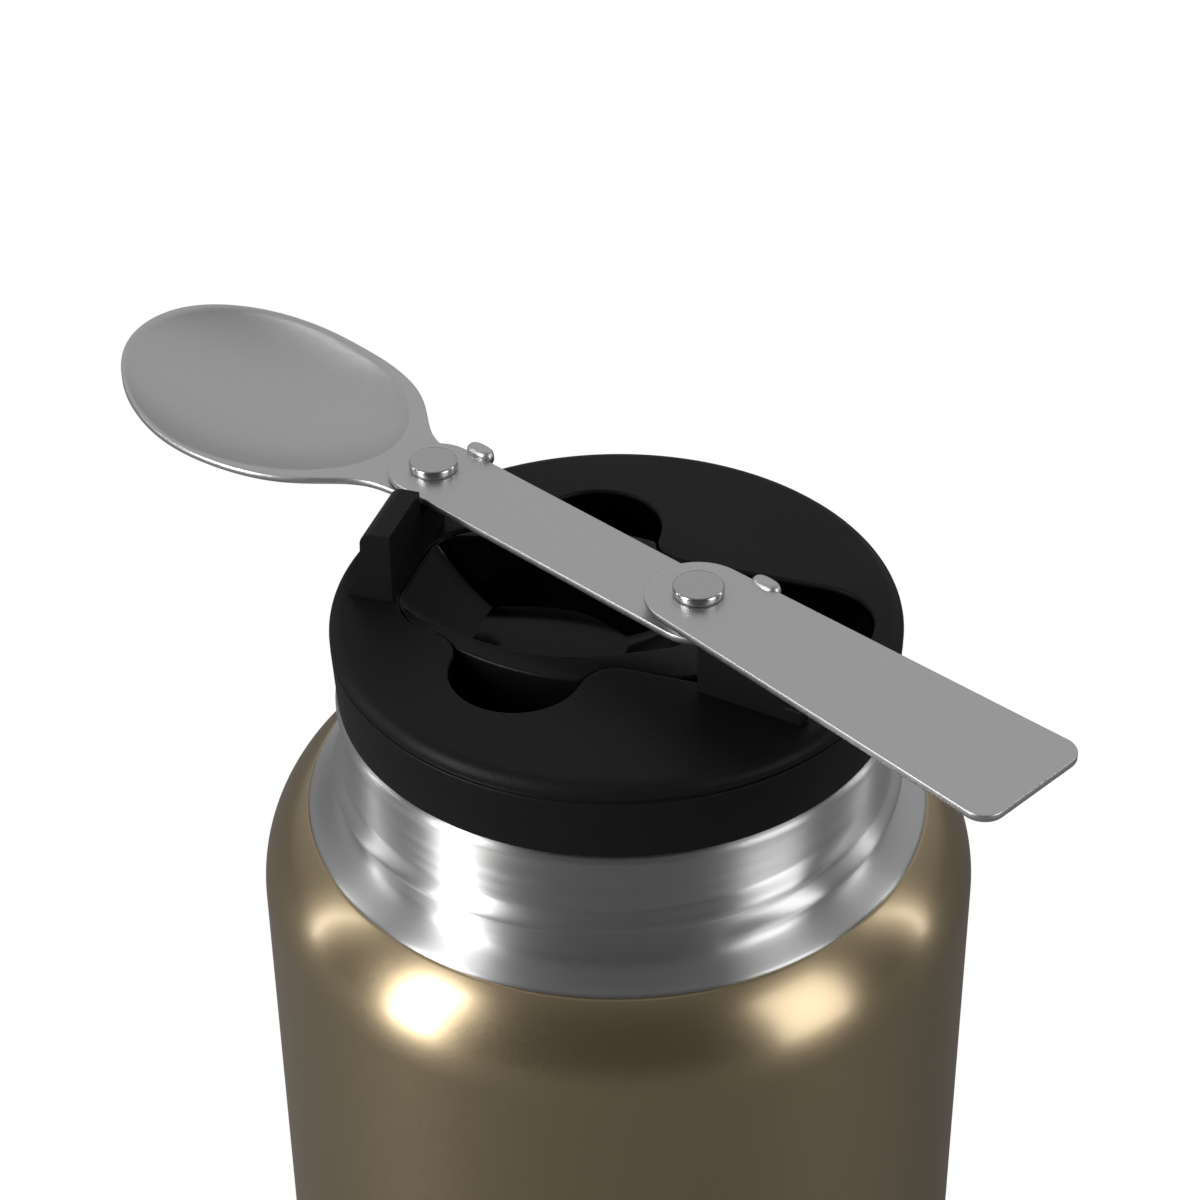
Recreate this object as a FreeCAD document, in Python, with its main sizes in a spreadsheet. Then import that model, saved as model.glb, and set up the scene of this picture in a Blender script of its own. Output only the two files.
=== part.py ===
import FreeCAD, Part
import math
import os
import Sketcher

# Insulated food jar with a screw stopper. A folding spoon lies open on the stopper's cradle.
# Millimetres. The origin is the jar's axis at the face it stands on, and +Z is up.

# Each row is a size's name, its value and what it measures.
SIZES = [
    ("body_height", 107.8, "standing face to the top edge of the painted shell"),
    ("body_radius", 51.9, "outside of the painted shell"),
    ("shoulder_drop", 13.8, "height of the shell's round shoulder"),
    ("boundary_radius", 44.6, "top edge of the painted shell"),
    ("base_round", 4.0, "outside round at the shell's foot"),
    ("foot_ledge", 5.4, "width of the flat ring the jar stands on"),
    ("steel_wall", 0.6, "sheet of the outer shell, neck and base"),
    ("liner_wall", 0.5, "sheet of the inner liner"),
    ("flange_rise", 1.8, "rise of the bare flange from the shell to the neck"),
    ("neck_height", 18.1, "bare neck, flange to lip"),
    ("neck_radius", 39.5, "outside of the bare neck"),
    ("neck_foot_radius", 39.8, "outside of the neck where it meets the flange"),
    ("lip_radius", 39.8, "outside of the rolled lip"),
    ("lip_height", 2.2, "height of the rolled lip"),
    ("bead_drop", 11.3, "lip to the middle of the neck's rolled bead"),
    ("bead_half_height", 2.2, "half the bead's height"),
    ("bead_section_radius", 2.4, "radius of the bead's section"),
    ("mouth_radius", 37.7, "inside of the mouth"),
    ("vacuum_gap", 5.5, "space between liner and shell"),
    ("floor_gap", 6.0, "space between the base plate and the liner's floor"),
    ("liner_floor_round", 9.0, "outside round at the liner's floor"),
    ("liner_neck_length", 24.0, "straight mouth of the liner below the lip"),
    ("liner_shoulder_drop", 9.0, "height of the liner's shoulder"),
    ("base_dish", 2.4, "how far the base plate is dished up"),
    ("base_lap", 4.5, "width of the base plate's rim on the shell's foot"),
    ("base_slope", 4.5, "width of the base plate's slope"),
    ("seal_radius", 6.0, "vacuum port seal"),
    ("seal_thickness", 1.0, "vacuum port seal"),
    ("getter_radius", 5.0, "getter pellet"),
    ("getter_thickness", 3.0, "getter pellet"),
    ("getter_offset", 24.0, "jar axis to the getter pellet"),
    ("thread_lead", 15.0, "rise of the stopper in one turn"),
    ("thread_starts", 3.0, "ribs round the mouth"),
    ("thread_height", 2.0, "height of a rib's section"),
    ("thread_gap", 0.3, "play between the stopper's ribs and the mouth's"),
    ("mouth_rib_depth", 1.3, "how far a mouth rib stands in"),
    ("mouth_rib_rise", 4.4, "rise of a mouth rib along its length"),
    ("mouth_rib_drop", 12.7, "lip to the start of a mouth rib"),
    ("plug_rib_rise", 2.0, "rise of a stopper rib along its length"),
    ("plug_rib_play", 0.4, "stopper rib to the wall of the mouth"),
    ("skirt_gap", 0.2, "lip to the stopper's skirt"),
    ("skirt_height", 9.3, "skirt's foot to the seam"),
    ("seam_gap", 0.5, "height of the seam groove"),
    ("seam_depth", 0.5, "depth of the seam groove"),
    ("cover_height", 2.3, "thickness of the cover disc"),
    ("lid_radius", 40.0, "outside of the stopper at the seam"),
    ("skirt_foot_radius", 39.5, "outside of the skirt's foot"),
    ("cover_round", 2.0, "round along the cover's top edge"),
    ("skirt_wall", 2.2, "wall of the stopper's head"),
    ("locating_ring_height", 1.5, "ring under the cover that centres it"),
    ("locating_ring_width", 0.6, "ring under the cover that centres it"),
    ("fit_gap", 0.2, "play between pieces that push together"),
    ("plug_play", 1.8, "wall of the mouth to the plug"),
    ("plug_wall", 2.0, "wall of the plug"),
    ("plug_depth", 21.0, "skirt's foot to the plug's end"),
    ("gasket_height", 1.8, "height of the seal ring's groove"),
    ("gasket_width", 3.0, "width of the seal ring's groove"),
    ("gasket_play", 0.1, "play round the seal ring"),
    ("head_floor", 1.5, "floor of the stopper's head above the groove"),
    ("plug_cover_height", 2.0, "disc that closes the plug"),
    ("plug_cover_spigot", 2.0, "spigot of that disc inside the plug"),
    ("tray_clearance", 0.4, "top of the insulation to the tray's floor"),
    ("cradle_angle", 162.0, "turn of the cradle's long axis about the jar's axis"),
    ("pocket_right", 35.5, "jar axis to the pocket's right end"),
    ("pocket_left", 30.0, "jar axis to the pocket's left end"),
    ("pocket_half_width", 13.2, "half the pocket's width"),
    ("pocket_corner", 8.5, "round of the pocket's corners"),
    ("pocket_depth", 7.5, "depth of the pocket"),
    ("scoop_along", 8.5, "finger scoop's centre along the cradle"),
    ("scoop_across", 18.0, "finger scoop's centre across the cradle"),
    ("scoop_radius", 9.2, "finger scoop"),
    ("scoop_blend", 5.0, "round where scoop and pocket meet"),
    ("tray_wall", 1.0, "wall and floor of the tray"),
    ("hollow_depth", 9.0, "depth of the hollow that takes the spoon's bowl"),
    ("band_half_width", 17.8, "half the width of the tray's rim"),
    ("band_right", 16.5, "jar axis to the rim's right end"),
    ("band_end_half_width", 11.5, "half the width of the rim at its right end"),
    ("band_left_half_width", 10.4, "half the width of the rim at its left end"),
    ("band_middle", 5.0, "place of the rim's widest point"),
    ("band_setback", 0.2, "rim below the cover's top"),
    ("hollow_half_width", 13.2, "half the width of the hollow"),
    ("hollow_right", 12.0, "jar axis to the hollow's right end"),
    ("hollow_left_half_width", 8.4, "half the width of the hollow at its left end"),
    ("hook_height", 11.0, "cover to the hook's top"),
    ("hook_front", 8.4, "cradle's axis to the hook's front end"),
    ("hook_wall", 4.5, "thickness of the hook at its top"),
    ("hook_flare", 2.4, "how far the hook's foot stands out"),
    ("hook_round", 2.0, "round along the hook's top"),
    ("hook_back", 3.4, "cradle's axis to the hook's end beside the link"),
    ("post_length", 6.0, "post under the bowl's tang, along the cradle"),
    ("post_back", 12.5, "cradle's axis to the post's far face"),
    ("rest_start", 16.2, "jar axis to the front rest's left end"),
    ("rest_length", 12.5, "length of the front rest"),
    ("rest_wall", 2.2, "wall of the front rest"),
    ("rest_across", 15.6, "jar axis to the front rest's outer face at its left end"),
    ("rest_turn", -12.0, "turn of the front rest from the cradle's axis"),
    ("rest_step_length", 3.4, "low step beyond the front rest"),
    ("rest_step_height", 2.6, "height of that step"),
    ("spoon_seat", 8.6, "cover to the underside of the spoon's link"),
    ("sheet_thickness", 1.1, "sheet of the spoon"),
    ("washer_thickness", 0.3, "washer between bowl and link"),
    ("turn_gap", 0.05, "play above and below a turning plate"),
    ("bore_play", 0.05, "radial play of a rivet's shank"),
    ("spacer_thickness", 1.65, "spacer between link and handle"),
    ("rivet_shank", 2.0, "radius of a rivet's shank"),
    ("rivet_head", 3.5, "radius of a rivet's head"),
    ("rivet_head_height", 1.4, "height of a rivet's head"),
    ("rivet_head_round", 0.3, "round along a rivet head's edge"),
    ("rivet_tail_height", 0.8, "height of the bowl rivet's tail"),
    ("rivet_tail", 2.8, "radius of the bowl rivet's tail"),
    ("washer_radius", 5.2, "washer and spacer"),
    ("bowl_rivet_x", -25.9, "place of the bowl's rivet"),
    ("bowl_rivet_y", 20.7, "place of the bowl's rivet"),
    ("link_angle", -43.6, "direction of the link from the bowl's rivet"),
    ("link_length", 50.9, "rivet to rivet"),
    ("link_half_width", 6.5, "half the width of the link"),
    ("bowl_angle", 138.5, "direction of the bowl from its rivet"),
    ("bowl_reach", 63.8, "rivet to the bowl's tip"),
    ("bowl_half_length", 27.6, "half the bowl's length"),
    ("bowl_half_width", 18.9, "half the bowl's width"),
    ("bowl_depth", 6.7, "rim to the underside of the bowl"),
    ("tang_half_width", 6.4, "half the width of the bowl's tang"),
    ("tang_length", 6.0, "straight part of the tang"),
    ("tang_flare", 11.0, "half the width of the neck where it meets the bowl"),
    ("tang_flare_length", 10.0, "length of the neck's flare"),
    ("handle_angle", -45.3, "direction of the handle from its rivet"),
    ("handle_reach", 57.4, "rivet to the handle's end"),
    ("handle_start_half_width", 7.3, "half the width at the rivet"),
    ("handle_end_half_width", 9.8, "half the width at the free end"),
    ("handle_corner", 3.0, "round of the free end's corners"),
    ("lug_length", 5.0, "stop lug along the plate"),
    ("lug_width", 2.2, "stop lug across the plate"),
    ("link_lug_along", 2.4, "bowl's rivet to the middle of the link's lug"),
    ("handle_lug_along", 5.0, "handle's rivet to the middle of the handle's lug"),
    ("lug_drop", 1.2, "how far the handle's lug is bent down"),
    ("lug_rise", 1.2, "how far the link's lug is bent up"),
]


class Size:
    """A size's number together with the sheet formula that gives it."""

    def __init__(self, number, formula):
        self.number = float(number)
        self.formula = formula

    def _join(self, other, sign, number):
        """The number that comes out of two sizes, with the formula that gives it."""
        return Size(number, "(%s %s %s)" % (self.formula, sign, as_size(other).formula))

    def __add__(self, other):
        return self._join(other, "+", self.number + as_size(other).number)

    def __sub__(self, other):
        return self._join(other, "-", self.number - as_size(other).number)

    def __mul__(self, other):
        return self._join(other, "*", self.number * as_size(other).number)

    def __truediv__(self, other):
        return self._join(other, "/", self.number / as_size(other).number)

    def __neg__(self):
        return Size(-self.number, "(0 - %s)" % self.formula)


def as_size(value):
    """A plain number as a size, and a size as it is."""
    return value if isinstance(value, Size) else Size(value, repr(float(value)))


class Sheet:
    """The sheet of sizes, read by name."""

    def __init__(self, document):
        self.sheet = document.addObject("Spreadsheet::Sheet", "Sizes")
        for row, (alias, number, note) in enumerate(SIZES, start=1):
            self.sheet.set("A%d" % row, note)
            self.sheet.set("B%d" % row, str(number))
            self.sheet.setAlias("B%d" % row, alias)
        document.recompute()

    def __getattr__(self, alias):
        return Size(self.sheet.get(alias), "Sizes." + alias)


doc = FreeCAD.newDocument("food_jar")
size = Sheet(doc)

# Heights above the standing face
neck_foot = size.body_height + size.flange_rise
lip_top = neck_foot + size.neck_height
bead_middle = lip_top - size.bead_drop
skirt_foot = lip_top + size.skirt_gap
seam_foot = skirt_foot + size.skirt_height
cover_foot = seam_foot + size.seam_gap
lid_top = cover_foot + size.cover_height
plug_foot = skirt_foot - size.plug_depth
gasket_top = skirt_foot + size.gasket_height
head_floor_top = gasket_top + size.head_floor
base_rim_top = size.steel_wall * 2
base_dish_foot = size.steel_wall + size.base_dish
base_dish_top = base_dish_foot + size.steel_wall
liner_floor = base_dish_top + size.floor_gap
liner_top = lip_top - size.steel_wall
pocket_floor = lid_top - size.pocket_depth
hollow_floor = lid_top - size.hollow_depth
band_top = lid_top - size.band_setback
link_foot = lid_top + size.spoon_seat
link_top = link_foot + size.sheet_thickness
washer_foot = link_foot - size.washer_thickness
tang_top = washer_foot - size.turn_gap
tang_foot = tang_top - size.sheet_thickness
tail_foot = tang_foot - size.turn_gap - size.rivet_tail_height
handle_foot = link_top + size.spacer_thickness + size.turn_gap
handle_top = handle_foot + size.sheet_thickness
hook_top = lid_top + size.hook_height

# Radii about the jar's axis
liner_radius = size.body_radius - size.steel_wall - size.vacuum_gap
liner_mouth = size.mouth_radius + size.liner_wall
foot_inner = size.body_radius - size.base_round - size.foot_ledge
plug_radius = size.mouth_radius - size.plug_play
plug_bore = plug_radius - size.plug_wall
head_bore = size.lid_radius - size.skirt_wall
groove_radius = plug_radius + size.gasket_width + size.gasket_play * 2


def bind(item, **formulas):
    """Set an object's properties to sizes or plain numbers."""
    for name, value in formulas.items():
        if isinstance(value, Size):
            item.setExpression(name, value.formula)
        else:
            setattr(item, name, value)


def place(item, x=0.0, y=0.0, z=0.0, turn=0.0):
    """Put an object at a point, turned about +Z; each value is a size or a number."""
    values = [as_size(value) for value in (x, y, z, turn)]
    item.Placement = FreeCAD.Placement(
        FreeCAD.Vector(values[0].number, values[1].number, values[2].number),
        FreeCAD.Rotation(FreeCAD.Vector(0, 0, 1), values[3].number))
    item.setExpression("Placement.Base.x", values[0].formula)
    item.setExpression("Placement.Base.y", values[1].formula)
    item.setExpression("Placement.Base.z", values[2].formula)
    item.setExpression("Placement.Rotation.Angle", values[3].formula)
    return item


def cylinder(name, radius, height, x=0.0, y=0.0, z=0.0):
    """A standing cylinder."""
    item = doc.addObject("Part::Cylinder", name)
    bind(item, Radius=radius, Height=height)
    return place(item, x, y, z)


def cut(name, base, *tools):
    """A base with other shapes taken out of it."""
    result = base
    for number, tool in enumerate(tools, start=1):
        step = doc.addObject("Part::Cut", name if number == len(tools) else "%s_cut_%d" % (name, number))
        step.Base, step.Tool = result, tool
        result = step
    return result


def fuse(name, *shapes):
    """Shapes joined into one."""
    item = doc.addObject("Part::MultiFuse", name)
    item.Shapes = list(shapes)
    item.Refine = True
    return item


def arc_centre(start, end, radius):
    """Centre of the arc from start to end that bulges to the right of its travel."""
    chord_x, chord_y = end[0] - start[0], end[1] - start[1]
    chord = math.hypot(chord_x, chord_y)
    height = math.sqrt(max(radius * radius - chord * chord / 4, 0.0))
    return ((start[0] + end[0]) / 2 - chord_y / chord * height,
            (start[1] + end[1]) / 2 + chord_x / chord * height)


def add_arc(sketch, start, end, radius):
    """Add an arc to a sketch; a negative radius bulges it to the left of its travel."""
    first, last = (start, end) if radius > 0 else (end, start)
    centre = arc_centre(first, last, abs(radius))
    circle = Part.Circle(FreeCAD.Vector(centre[0], centre[1], 0), FreeCAD.Vector(0, 0, 1), abs(radius))
    angles = [math.atan2(point[1] - centre[1], point[0] - centre[0]) for point in (first, last)]
    sketch.addGeometry(Part.ArcOfCircle(circle, angles[0], angles[1]), False)
    return (1, 2) if radius > 0 else (2, 1)


def turned(name, section):
    """A body turned about the jar's axis.

    The section goes counter-clockwise as rows of radius and height; a third value is the
    radius of the arc that leads to the next corner, negative where the arc is hollow.
    """
    body = doc.addObject("PartDesign::Body", name)
    sketch = body.newObject("Sketcher::SketchObject", name + "_section")
    plane = [item for item in body.Origin.OriginFeatures if item.Role == "XZ_Plane"][0]
    sketch.AttachmentSupport = (plane, [""])
    sketch.MapMode = "FlatFace"
    corners = [(as_size(row[0]), as_size(row[1])) for row in section]
    points = [(corner[0].number, corner[1].number) for corner in corners]
    ends = []
    for number, row in enumerate(section):
        start, end = points[number], points[(number + 1) % len(points)]
        if len(row) > 2:
            ends.append(add_arc(sketch, start, end, as_size(row[2]).number))
        else:
            sketch.addGeometry(Part.LineSegment(FreeCAD.Vector(start[0], start[1], 0),
                                                FreeCAD.Vector(end[0], end[1], 0)), False)
            ends.append((1, 2))
    for number in range(len(section)):
        after = (number + 1) % len(section)
        sketch.addConstraint(Sketcher.Constraint("Coincident", number, ends[number][1], after, ends[after][0]))
    for number, (radius, height) in enumerate(corners):
        fix_corner(sketch, number, ends[number][0], radius, height)
        if len(section[number]) > 2:
            bend = as_size(section[number][2])
            sign = 1 if bend.number > 0 else -1
            row = sketch.addConstraint(Sketcher.Constraint("Radius", number, abs(bend.number)))
            sketch.setExpression("Constraints[%d]" % row, (bend * sign).formula)
    turn = body.newObject("PartDesign::Revolution", name + "_turn")
    turn.Profile = sketch
    turn.ReferenceAxis = (sketch, ["V_Axis"])
    turn.Angle = 360
    body.Tip = turn
    return body


def fix_corner(sketch, number, end, radius, height):
    """Tie one corner of a section to its sizes, or to an axis where it lies on one."""
    horizontal, vertical = -1, -2
    if abs(radius.number) < 1e-9:
        sketch.addConstraint(Sketcher.Constraint("PointOnObject", number, end, vertical))
    else:
        row = sketch.addConstraint(Sketcher.Constraint("DistanceX", -1, 1, number, end, radius.number))
        sketch.setExpression("Constraints[%d]" % row, radius.formula)
    if abs(height.number) < 1e-9:
        sketch.addConstraint(Sketcher.Constraint("PointOnObject", number, end, horizontal))
    else:
        row = sketch.addConstraint(Sketcher.Constraint("DistanceY", -1, 1, number, end, height.number))
        sketch.setExpression("Constraints[%d]" % row, height.formula)


def solid_face(name, face):
    """Keep a flat face in the document, for an extrusion to use."""
    item = doc.addObject("Part::Feature", name)
    item.Shape = face
    return item


def raised(name, face, height, z, turn=0.0):
    """A face raised to a solid, placed at a height and turned about the jar's axis."""
    item = doc.addObject("Part::Extrusion", name)
    item.Base = solid_face(name + "_outline", face)
    item.DirMode = "Custom"
    item.Dir = FreeCAD.Vector(0, 0, 1)
    item.Solid = True
    bind(item, LengthFwd=height)
    return place(item, 0.0, 0.0, z, turn)


def thread_ribs(name, inner, outer, start, rise):
    """Helical ribs with a square section, one for each start, as one shape."""
    lead, height = size.thread_lead.number, size.thread_height.number
    radius = (inner.number + outer.number) / 2
    path = Part.makeHelix(lead, rise.number, radius)
    corners = [(inner, 0.0), (outer, 0.0), (outer, height), (inner, height), (inner, 0.0)]
    section = Part.makePolygon([FreeCAD.Vector(row[0].number, 0, row[1]) for row in corners])
    pipe = Part.BRepOffsetAPI.MakePipeShell(path)
    pipe.setBiNormalMode(FreeCAD.Vector(0, 0, 1))
    pipe.add(section)
    pipe.build()
    pipe.makeSolid()
    rib = pipe.shape()
    rib.translate(FreeCAD.Vector(0, 0, start.number))
    copies = []
    count = int(round(size.thread_starts.number))
    for number in range(count):
        copy = rib.copy()
        copy.rotate(FreeCAD.Vector(0, 0, 0), FreeCAD.Vector(0, 0, 1), 360.0 * number / count)
        copies.append(copy)
    item = doc.addObject("Part::Feature", name)
    item.Shape = Part.makeCompound(copies)
    return item


def jar_nodes():
    """The vessel: painted shell, bare neck, liner, base plate, port seal, getter and base cover."""
    rise = size.body_radius - size.boundary_radius
    bend = (rise * rise + size.shoulder_drop * size.shoulder_drop) / (rise * 2)
    centre = size.body_radius - bend
    shoulder = size.body_height - size.shoulder_drop
    lean_out = (size.boundary_radius - centre) / bend * size.steel_wall
    lean_up = size.shoulder_drop / bend * size.steel_wall
    edge_in = (size.boundary_radius - lean_out, size.body_height - lean_up)
    inside = size.body_radius - size.steel_wall
    round_inside = size.base_round - size.steel_wall
    outer_shell = turned("outer_shell", [
        (foot_inner, 0.0), (size.body_radius - size.base_round, 0.0, size.base_round),
        (size.body_radius, size.base_round), (size.body_radius, shoulder, bend),
        (size.boundary_radius, size.body_height), (edge_in[0], edge_in[1], -(bend - size.steel_wall)),
        (inside, shoulder), (inside, size.base_round, -round_inside),
        (size.body_radius - size.base_round, size.steel_wall), (foot_inner, size.steel_wall)])
    neck_inside = size.neck_radius - size.steel_wall
    neck_ring = turned("neck_ring", [
        edge_in, (size.boundary_radius, size.body_height), (size.neck_foot_radius, neck_foot),
        (size.neck_radius, bead_middle - size.bead_half_height, size.bead_section_radius),
        (size.neck_radius, bead_middle + size.bead_half_height), (size.neck_radius, lip_top - size.lip_height),
        (size.lip_radius, lip_top - size.lip_height + size.steel_wall), (size.lip_radius, lip_top),
        (size.mouth_radius, lip_top), (size.mouth_radius, liner_top), (neck_inside, liner_top),
        (neck_inside, neck_foot - size.steel_wall)])
    neck_end = liner_top - size.liner_neck_length
    shoulder_end = neck_end - size.liner_shoulder_drop
    bore = liner_radius - size.liner_wall
    floor_round = size.liner_floor_round
    inner_round = floor_round - size.liner_wall
    liner_tube = turned("liner_tube", [
        (0.0, liner_floor), (liner_radius - floor_round, liner_floor, floor_round),
        (liner_radius, liner_floor + floor_round), (liner_radius, shoulder_end), (liner_mouth, neck_end),
        (liner_mouth, liner_top), (size.mouth_radius, liner_top), (size.mouth_radius, neck_end),
        (bore, shoulder_end), (bore, liner_floor + floor_round, -inner_round),
        (liner_radius - floor_round, liner_floor + size.liner_wall), (0.0, liner_floor + size.liner_wall)])
    ribs = thread_ribs("mouth_ribs", size.mouth_radius - size.mouth_rib_depth,
                       size.mouth_radius + size.liner_wall / 2, lip_top - size.mouth_rib_drop,
                       size.mouth_rib_rise)
    inner_liner = fuse("inner_liner", liner_tube, ribs)
    rim = foot_inner + size.base_lap
    base_plate = turned("base_plate", [
        (0.0, base_dish_foot), (foot_inner - size.base_slope, base_dish_foot),
        (foot_inner, size.steel_wall), (rim, size.steel_wall), (rim, base_rim_top),
        (foot_inner, base_rim_top), (foot_inner - size.base_slope, base_dish_top), (0.0, base_dish_top)])
    base_cover = cylinder("base_cover", foot_inner, size.steel_wall)
    vacuum_seal = cylinder("vacuum_seal", size.seal_radius, size.seal_thickness,
                           z=base_dish_foot - size.seal_thickness)
    getter = cylinder("getter", size.getter_radius, size.getter_thickness, x=size.getter_offset,
                      z=base_dish_top)
    return [outer_shell, neck_ring, inner_liner, base_plate, vacuum_seal, getter, base_cover]


def pocket_face(grow):
    """The pocket with its finger scoops in the cradle's own axes, grown by a margin."""
    left, right = size.pocket_left.number, size.pocket_right.number
    half, corner = size.pocket_half_width.number, size.pocket_corner.number
    slot = Part.makePlane(left + right, 2 * half, FreeCAD.Vector(-right, -half, 0))
    slot = slot.makeOffset2D(-corner).makeOffset2D(corner)
    shapes = [scoop_face(side) for side in (1, -1)]
    face = slot.multiFuse(shapes).removeSplitter().Faces[0]
    blend = size.scoop_blend.number
    face = face.makeOffset2D(blend).makeOffset2D(grow - blend)
    return Part.Face(face.Faces[0].OuterWire)


def scoop_face(side):
    """One finger scoop as a disc."""
    centre = FreeCAD.Vector(size.scoop_along.number, side * size.scoop_across.number, 0)
    return Part.Face(Part.Wire(Part.makeCircle(size.scoop_radius.number, centre)))


def oval_face(left, left_half, middle, half, right, right_half, end_bulge):
    """An outline with two long arcs, a straight left end and a right end that may bulge."""
    def point(along, across):
        return FreeCAD.Vector(along, across, 0)

    upper = Part.Arc(point(left, left_half), point(middle, half), point(-right, right_half)).toShape()
    lower = Part.Arc(point(-right, -right_half), point(middle, -half), point(left, -left_half)).toShape()
    if end_bulge > 0:
        end = Part.Arc(point(-right, right_half), point(-right - end_bulge, 0),
                       point(-right, -right_half)).toShape()
    else:
        end = Part.LineSegment(point(-right, right_half), point(-right, -right_half)).toShape()
    start = Part.LineSegment(point(left, -left_half), point(left, left_half)).toShape()
    return Part.Face(Part.Wire([upper, end, lower, start]))


def band_faces():
    """The tray's flush rim and the hollow inside it, in the cradle's own axes."""
    left = size.pocket_left.number
    end_half = size.hollow_half_width.number / 2
    bulge = (size.hollow_right.number - size.band_end_half_width.number / 2) / 2
    rim = oval_face(left, size.band_left_half_width.number, size.band_middle.number,
                    size.band_half_width.number, size.band_right.number,
                    size.band_end_half_width.number, 0.0)
    hollow = oval_face(left, size.hollow_left_half_width.number, size.scoop_along.number,
                       size.hollow_half_width.number, size.hollow_right.number - bulge, end_half, bulge)
    return rim, hollow


def stopper_nodes():
    """The stopper: cover, head with plug, insulation, plug cover, tray, hook, rest and seal."""
    turn = size.cradle_angle
    shell_tube = turned("stopper_tube", [
        (plug_bore, plug_foot), (plug_radius, plug_foot), (plug_radius, gasket_top),
        (groove_radius, gasket_top), (groove_radius, skirt_foot), (size.skirt_foot_radius, skirt_foot),
        (size.lid_radius, seam_foot), (size.lid_radius - size.seam_depth, seam_foot),
        (size.lid_radius - size.seam_depth, cover_foot), (head_bore, cover_foot),
        (head_bore, head_floor_top), (plug_bore, head_floor_top)])
    rib_top = lip_top - size.mouth_rib_drop - size.thread_gap
    ribs = thread_ribs("plug_ribs", plug_radius - size.plug_wall / 4, size.mouth_radius - size.plug_rib_play,
                       rib_top - size.thread_height, size.plug_rib_rise)
    stopper_shell = fuse("stopper_shell", shell_tube, ribs)
    ring_out = head_bore - size.fit_gap
    disc = turned("cover_disc", [
        (0.0, cover_foot), (ring_out - size.locating_ring_width, cover_foot),
        (ring_out - size.locating_ring_width, cover_foot - size.locating_ring_height),
        (ring_out, cover_foot - size.locating_ring_height), (ring_out, cover_foot),
        (size.lid_radius, cover_foot), (size.lid_radius, lid_top - size.cover_round, size.cover_round),
        (size.lid_radius - size.cover_round, lid_top), (0.0, lid_top)])
    depth = size.cover_height + size.locating_ring_height * 2
    opening = raised("cover_opening", pocket_face(0.0), depth, cover_foot - size.locating_ring_height, turn)
    slot_length = size.hook_wall + size.hook_flare + size.fit_gap + size.pocket_corner
    slot_start = size.pocket_left - size.pocket_corner
    slot_half = size.hook_front + size.fit_gap
    slot = raised("hook_opening", Part.makePlane(
        slot_length.number, 2 * slot_half.number,
        FreeCAD.Vector(slot_start.number, -slot_half.number, 0)),
        size.cover_height, cover_foot, turn)
    stopper_cover = cut("stopper_cover", disc, opening, slot)
    spoon_tray = tray_node(turn)
    insulation_foot = plug_foot + size.plug_cover_spigot + size.fit_gap
    insulation = cylinder("plug_insulation", plug_bore - size.fit_gap,
                          hollow_floor - size.tray_wall - size.tray_clearance - insulation_foot,
                          z=insulation_foot)
    spigot = plug_bore - size.fit_gap
    plug_cover = turned("plug_cover", [
        (0.0, plug_foot - size.plug_cover_height), (plug_radius - size.plug_wall / 2,
                                                    plug_foot - size.plug_cover_height),
        (plug_radius, plug_foot - size.plug_cover_height + size.plug_wall / 2), (plug_radius, plug_foot),
        (spigot, plug_foot), (spigot, plug_foot + size.plug_cover_spigot),
        (0.0, plug_foot + size.plug_cover_spigot)])
    gasket_in = plug_radius + size.gasket_play
    gasket_out = groove_radius - size.gasket_play
    neck_gasket = turned("neck_gasket", [
        (gasket_in, lip_top + size.turn_gap), (gasket_out, lip_top + size.turn_gap),
        (gasket_out, gasket_top - size.gasket_play), (gasket_in, gasket_top - size.gasket_play)])
    return [stopper_shell, stopper_cover, spoon_tray, insulation, plug_cover, neck_gasket,
            hook_node(turn), rest_node(turn)]


def tray_node(turn):
    """The glossy tray: a floor and wall under the cover, and a flush rim round the hollow."""
    wall = size.tray_wall
    rim, hollow = band_faces()
    pocket = pocket_face(0.0)
    rim = rim.common(pocket_face(-size.fit_gap.number)).Faces[0]
    block_foot, well_foot = pocket_floor - wall, hollow_floor - wall
    block = raised("tray_block", pocket_face(wall.number), cover_foot - block_foot, block_foot, turn)
    room = raised("tray_room", pocket, size.pocket_depth, pocket_floor, turn)
    walls = cut("tray_walls", block, room)
    band = raised("tray_band", rim, band_top - pocket_floor, pocket_floor, turn)
    cup = raised("tray_cup", hollow.makeOffset2D(wall.number), block_foot + wall - well_foot, well_foot, turn)
    joined = fuse("tray_joined", walls, band, cup)
    well = raised("tray_well", hollow, size.hollow_depth, hollow_floor, turn)
    return cut("spoon_tray", joined, well)


def hook_node(turn):
    """The hook across the cradle's left end, with a post beside it under the bowl's tang."""
    inner, outer = size.pocket_left, size.pocket_left + size.hook_wall
    foot_edge = outer + size.hook_flare
    profile = [(inner, cover_foot), (foot_edge, cover_foot), (foot_edge, lid_top),
               (outer, hook_top - size.hook_round), (outer - size.hook_round, hook_top), (inner, hook_top)]
    points = [FreeCAD.Vector(row[0].number, -size.hook_back.number, row[1].number) for row in profile]
    edges = [Part.LineSegment(points[number], points[(number + 1) % 6]).toShape() for number in range(6)]
    edges[3] = quarter_round(points[3], points[4])
    face = Part.Face(Part.Wire(edges))
    wall = doc.addObject("Part::Feature", "hook_wall")
    wall.Shape = face.extrude(FreeCAD.Vector(0, (size.hook_front + size.hook_back).number, 0))
    place(wall, turn=turn)
    post_width = size.post_back - size.hook_back
    post = raised("post", Part.makePlane(size.post_length.number, post_width.number,
                                         FreeCAD.Vector(inner.number, -size.post_back.number, 0)),
                  tail_foot - size.turn_gap - lid_top, lid_top, turn)
    return fuse("spoon_hook", wall, post)


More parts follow.
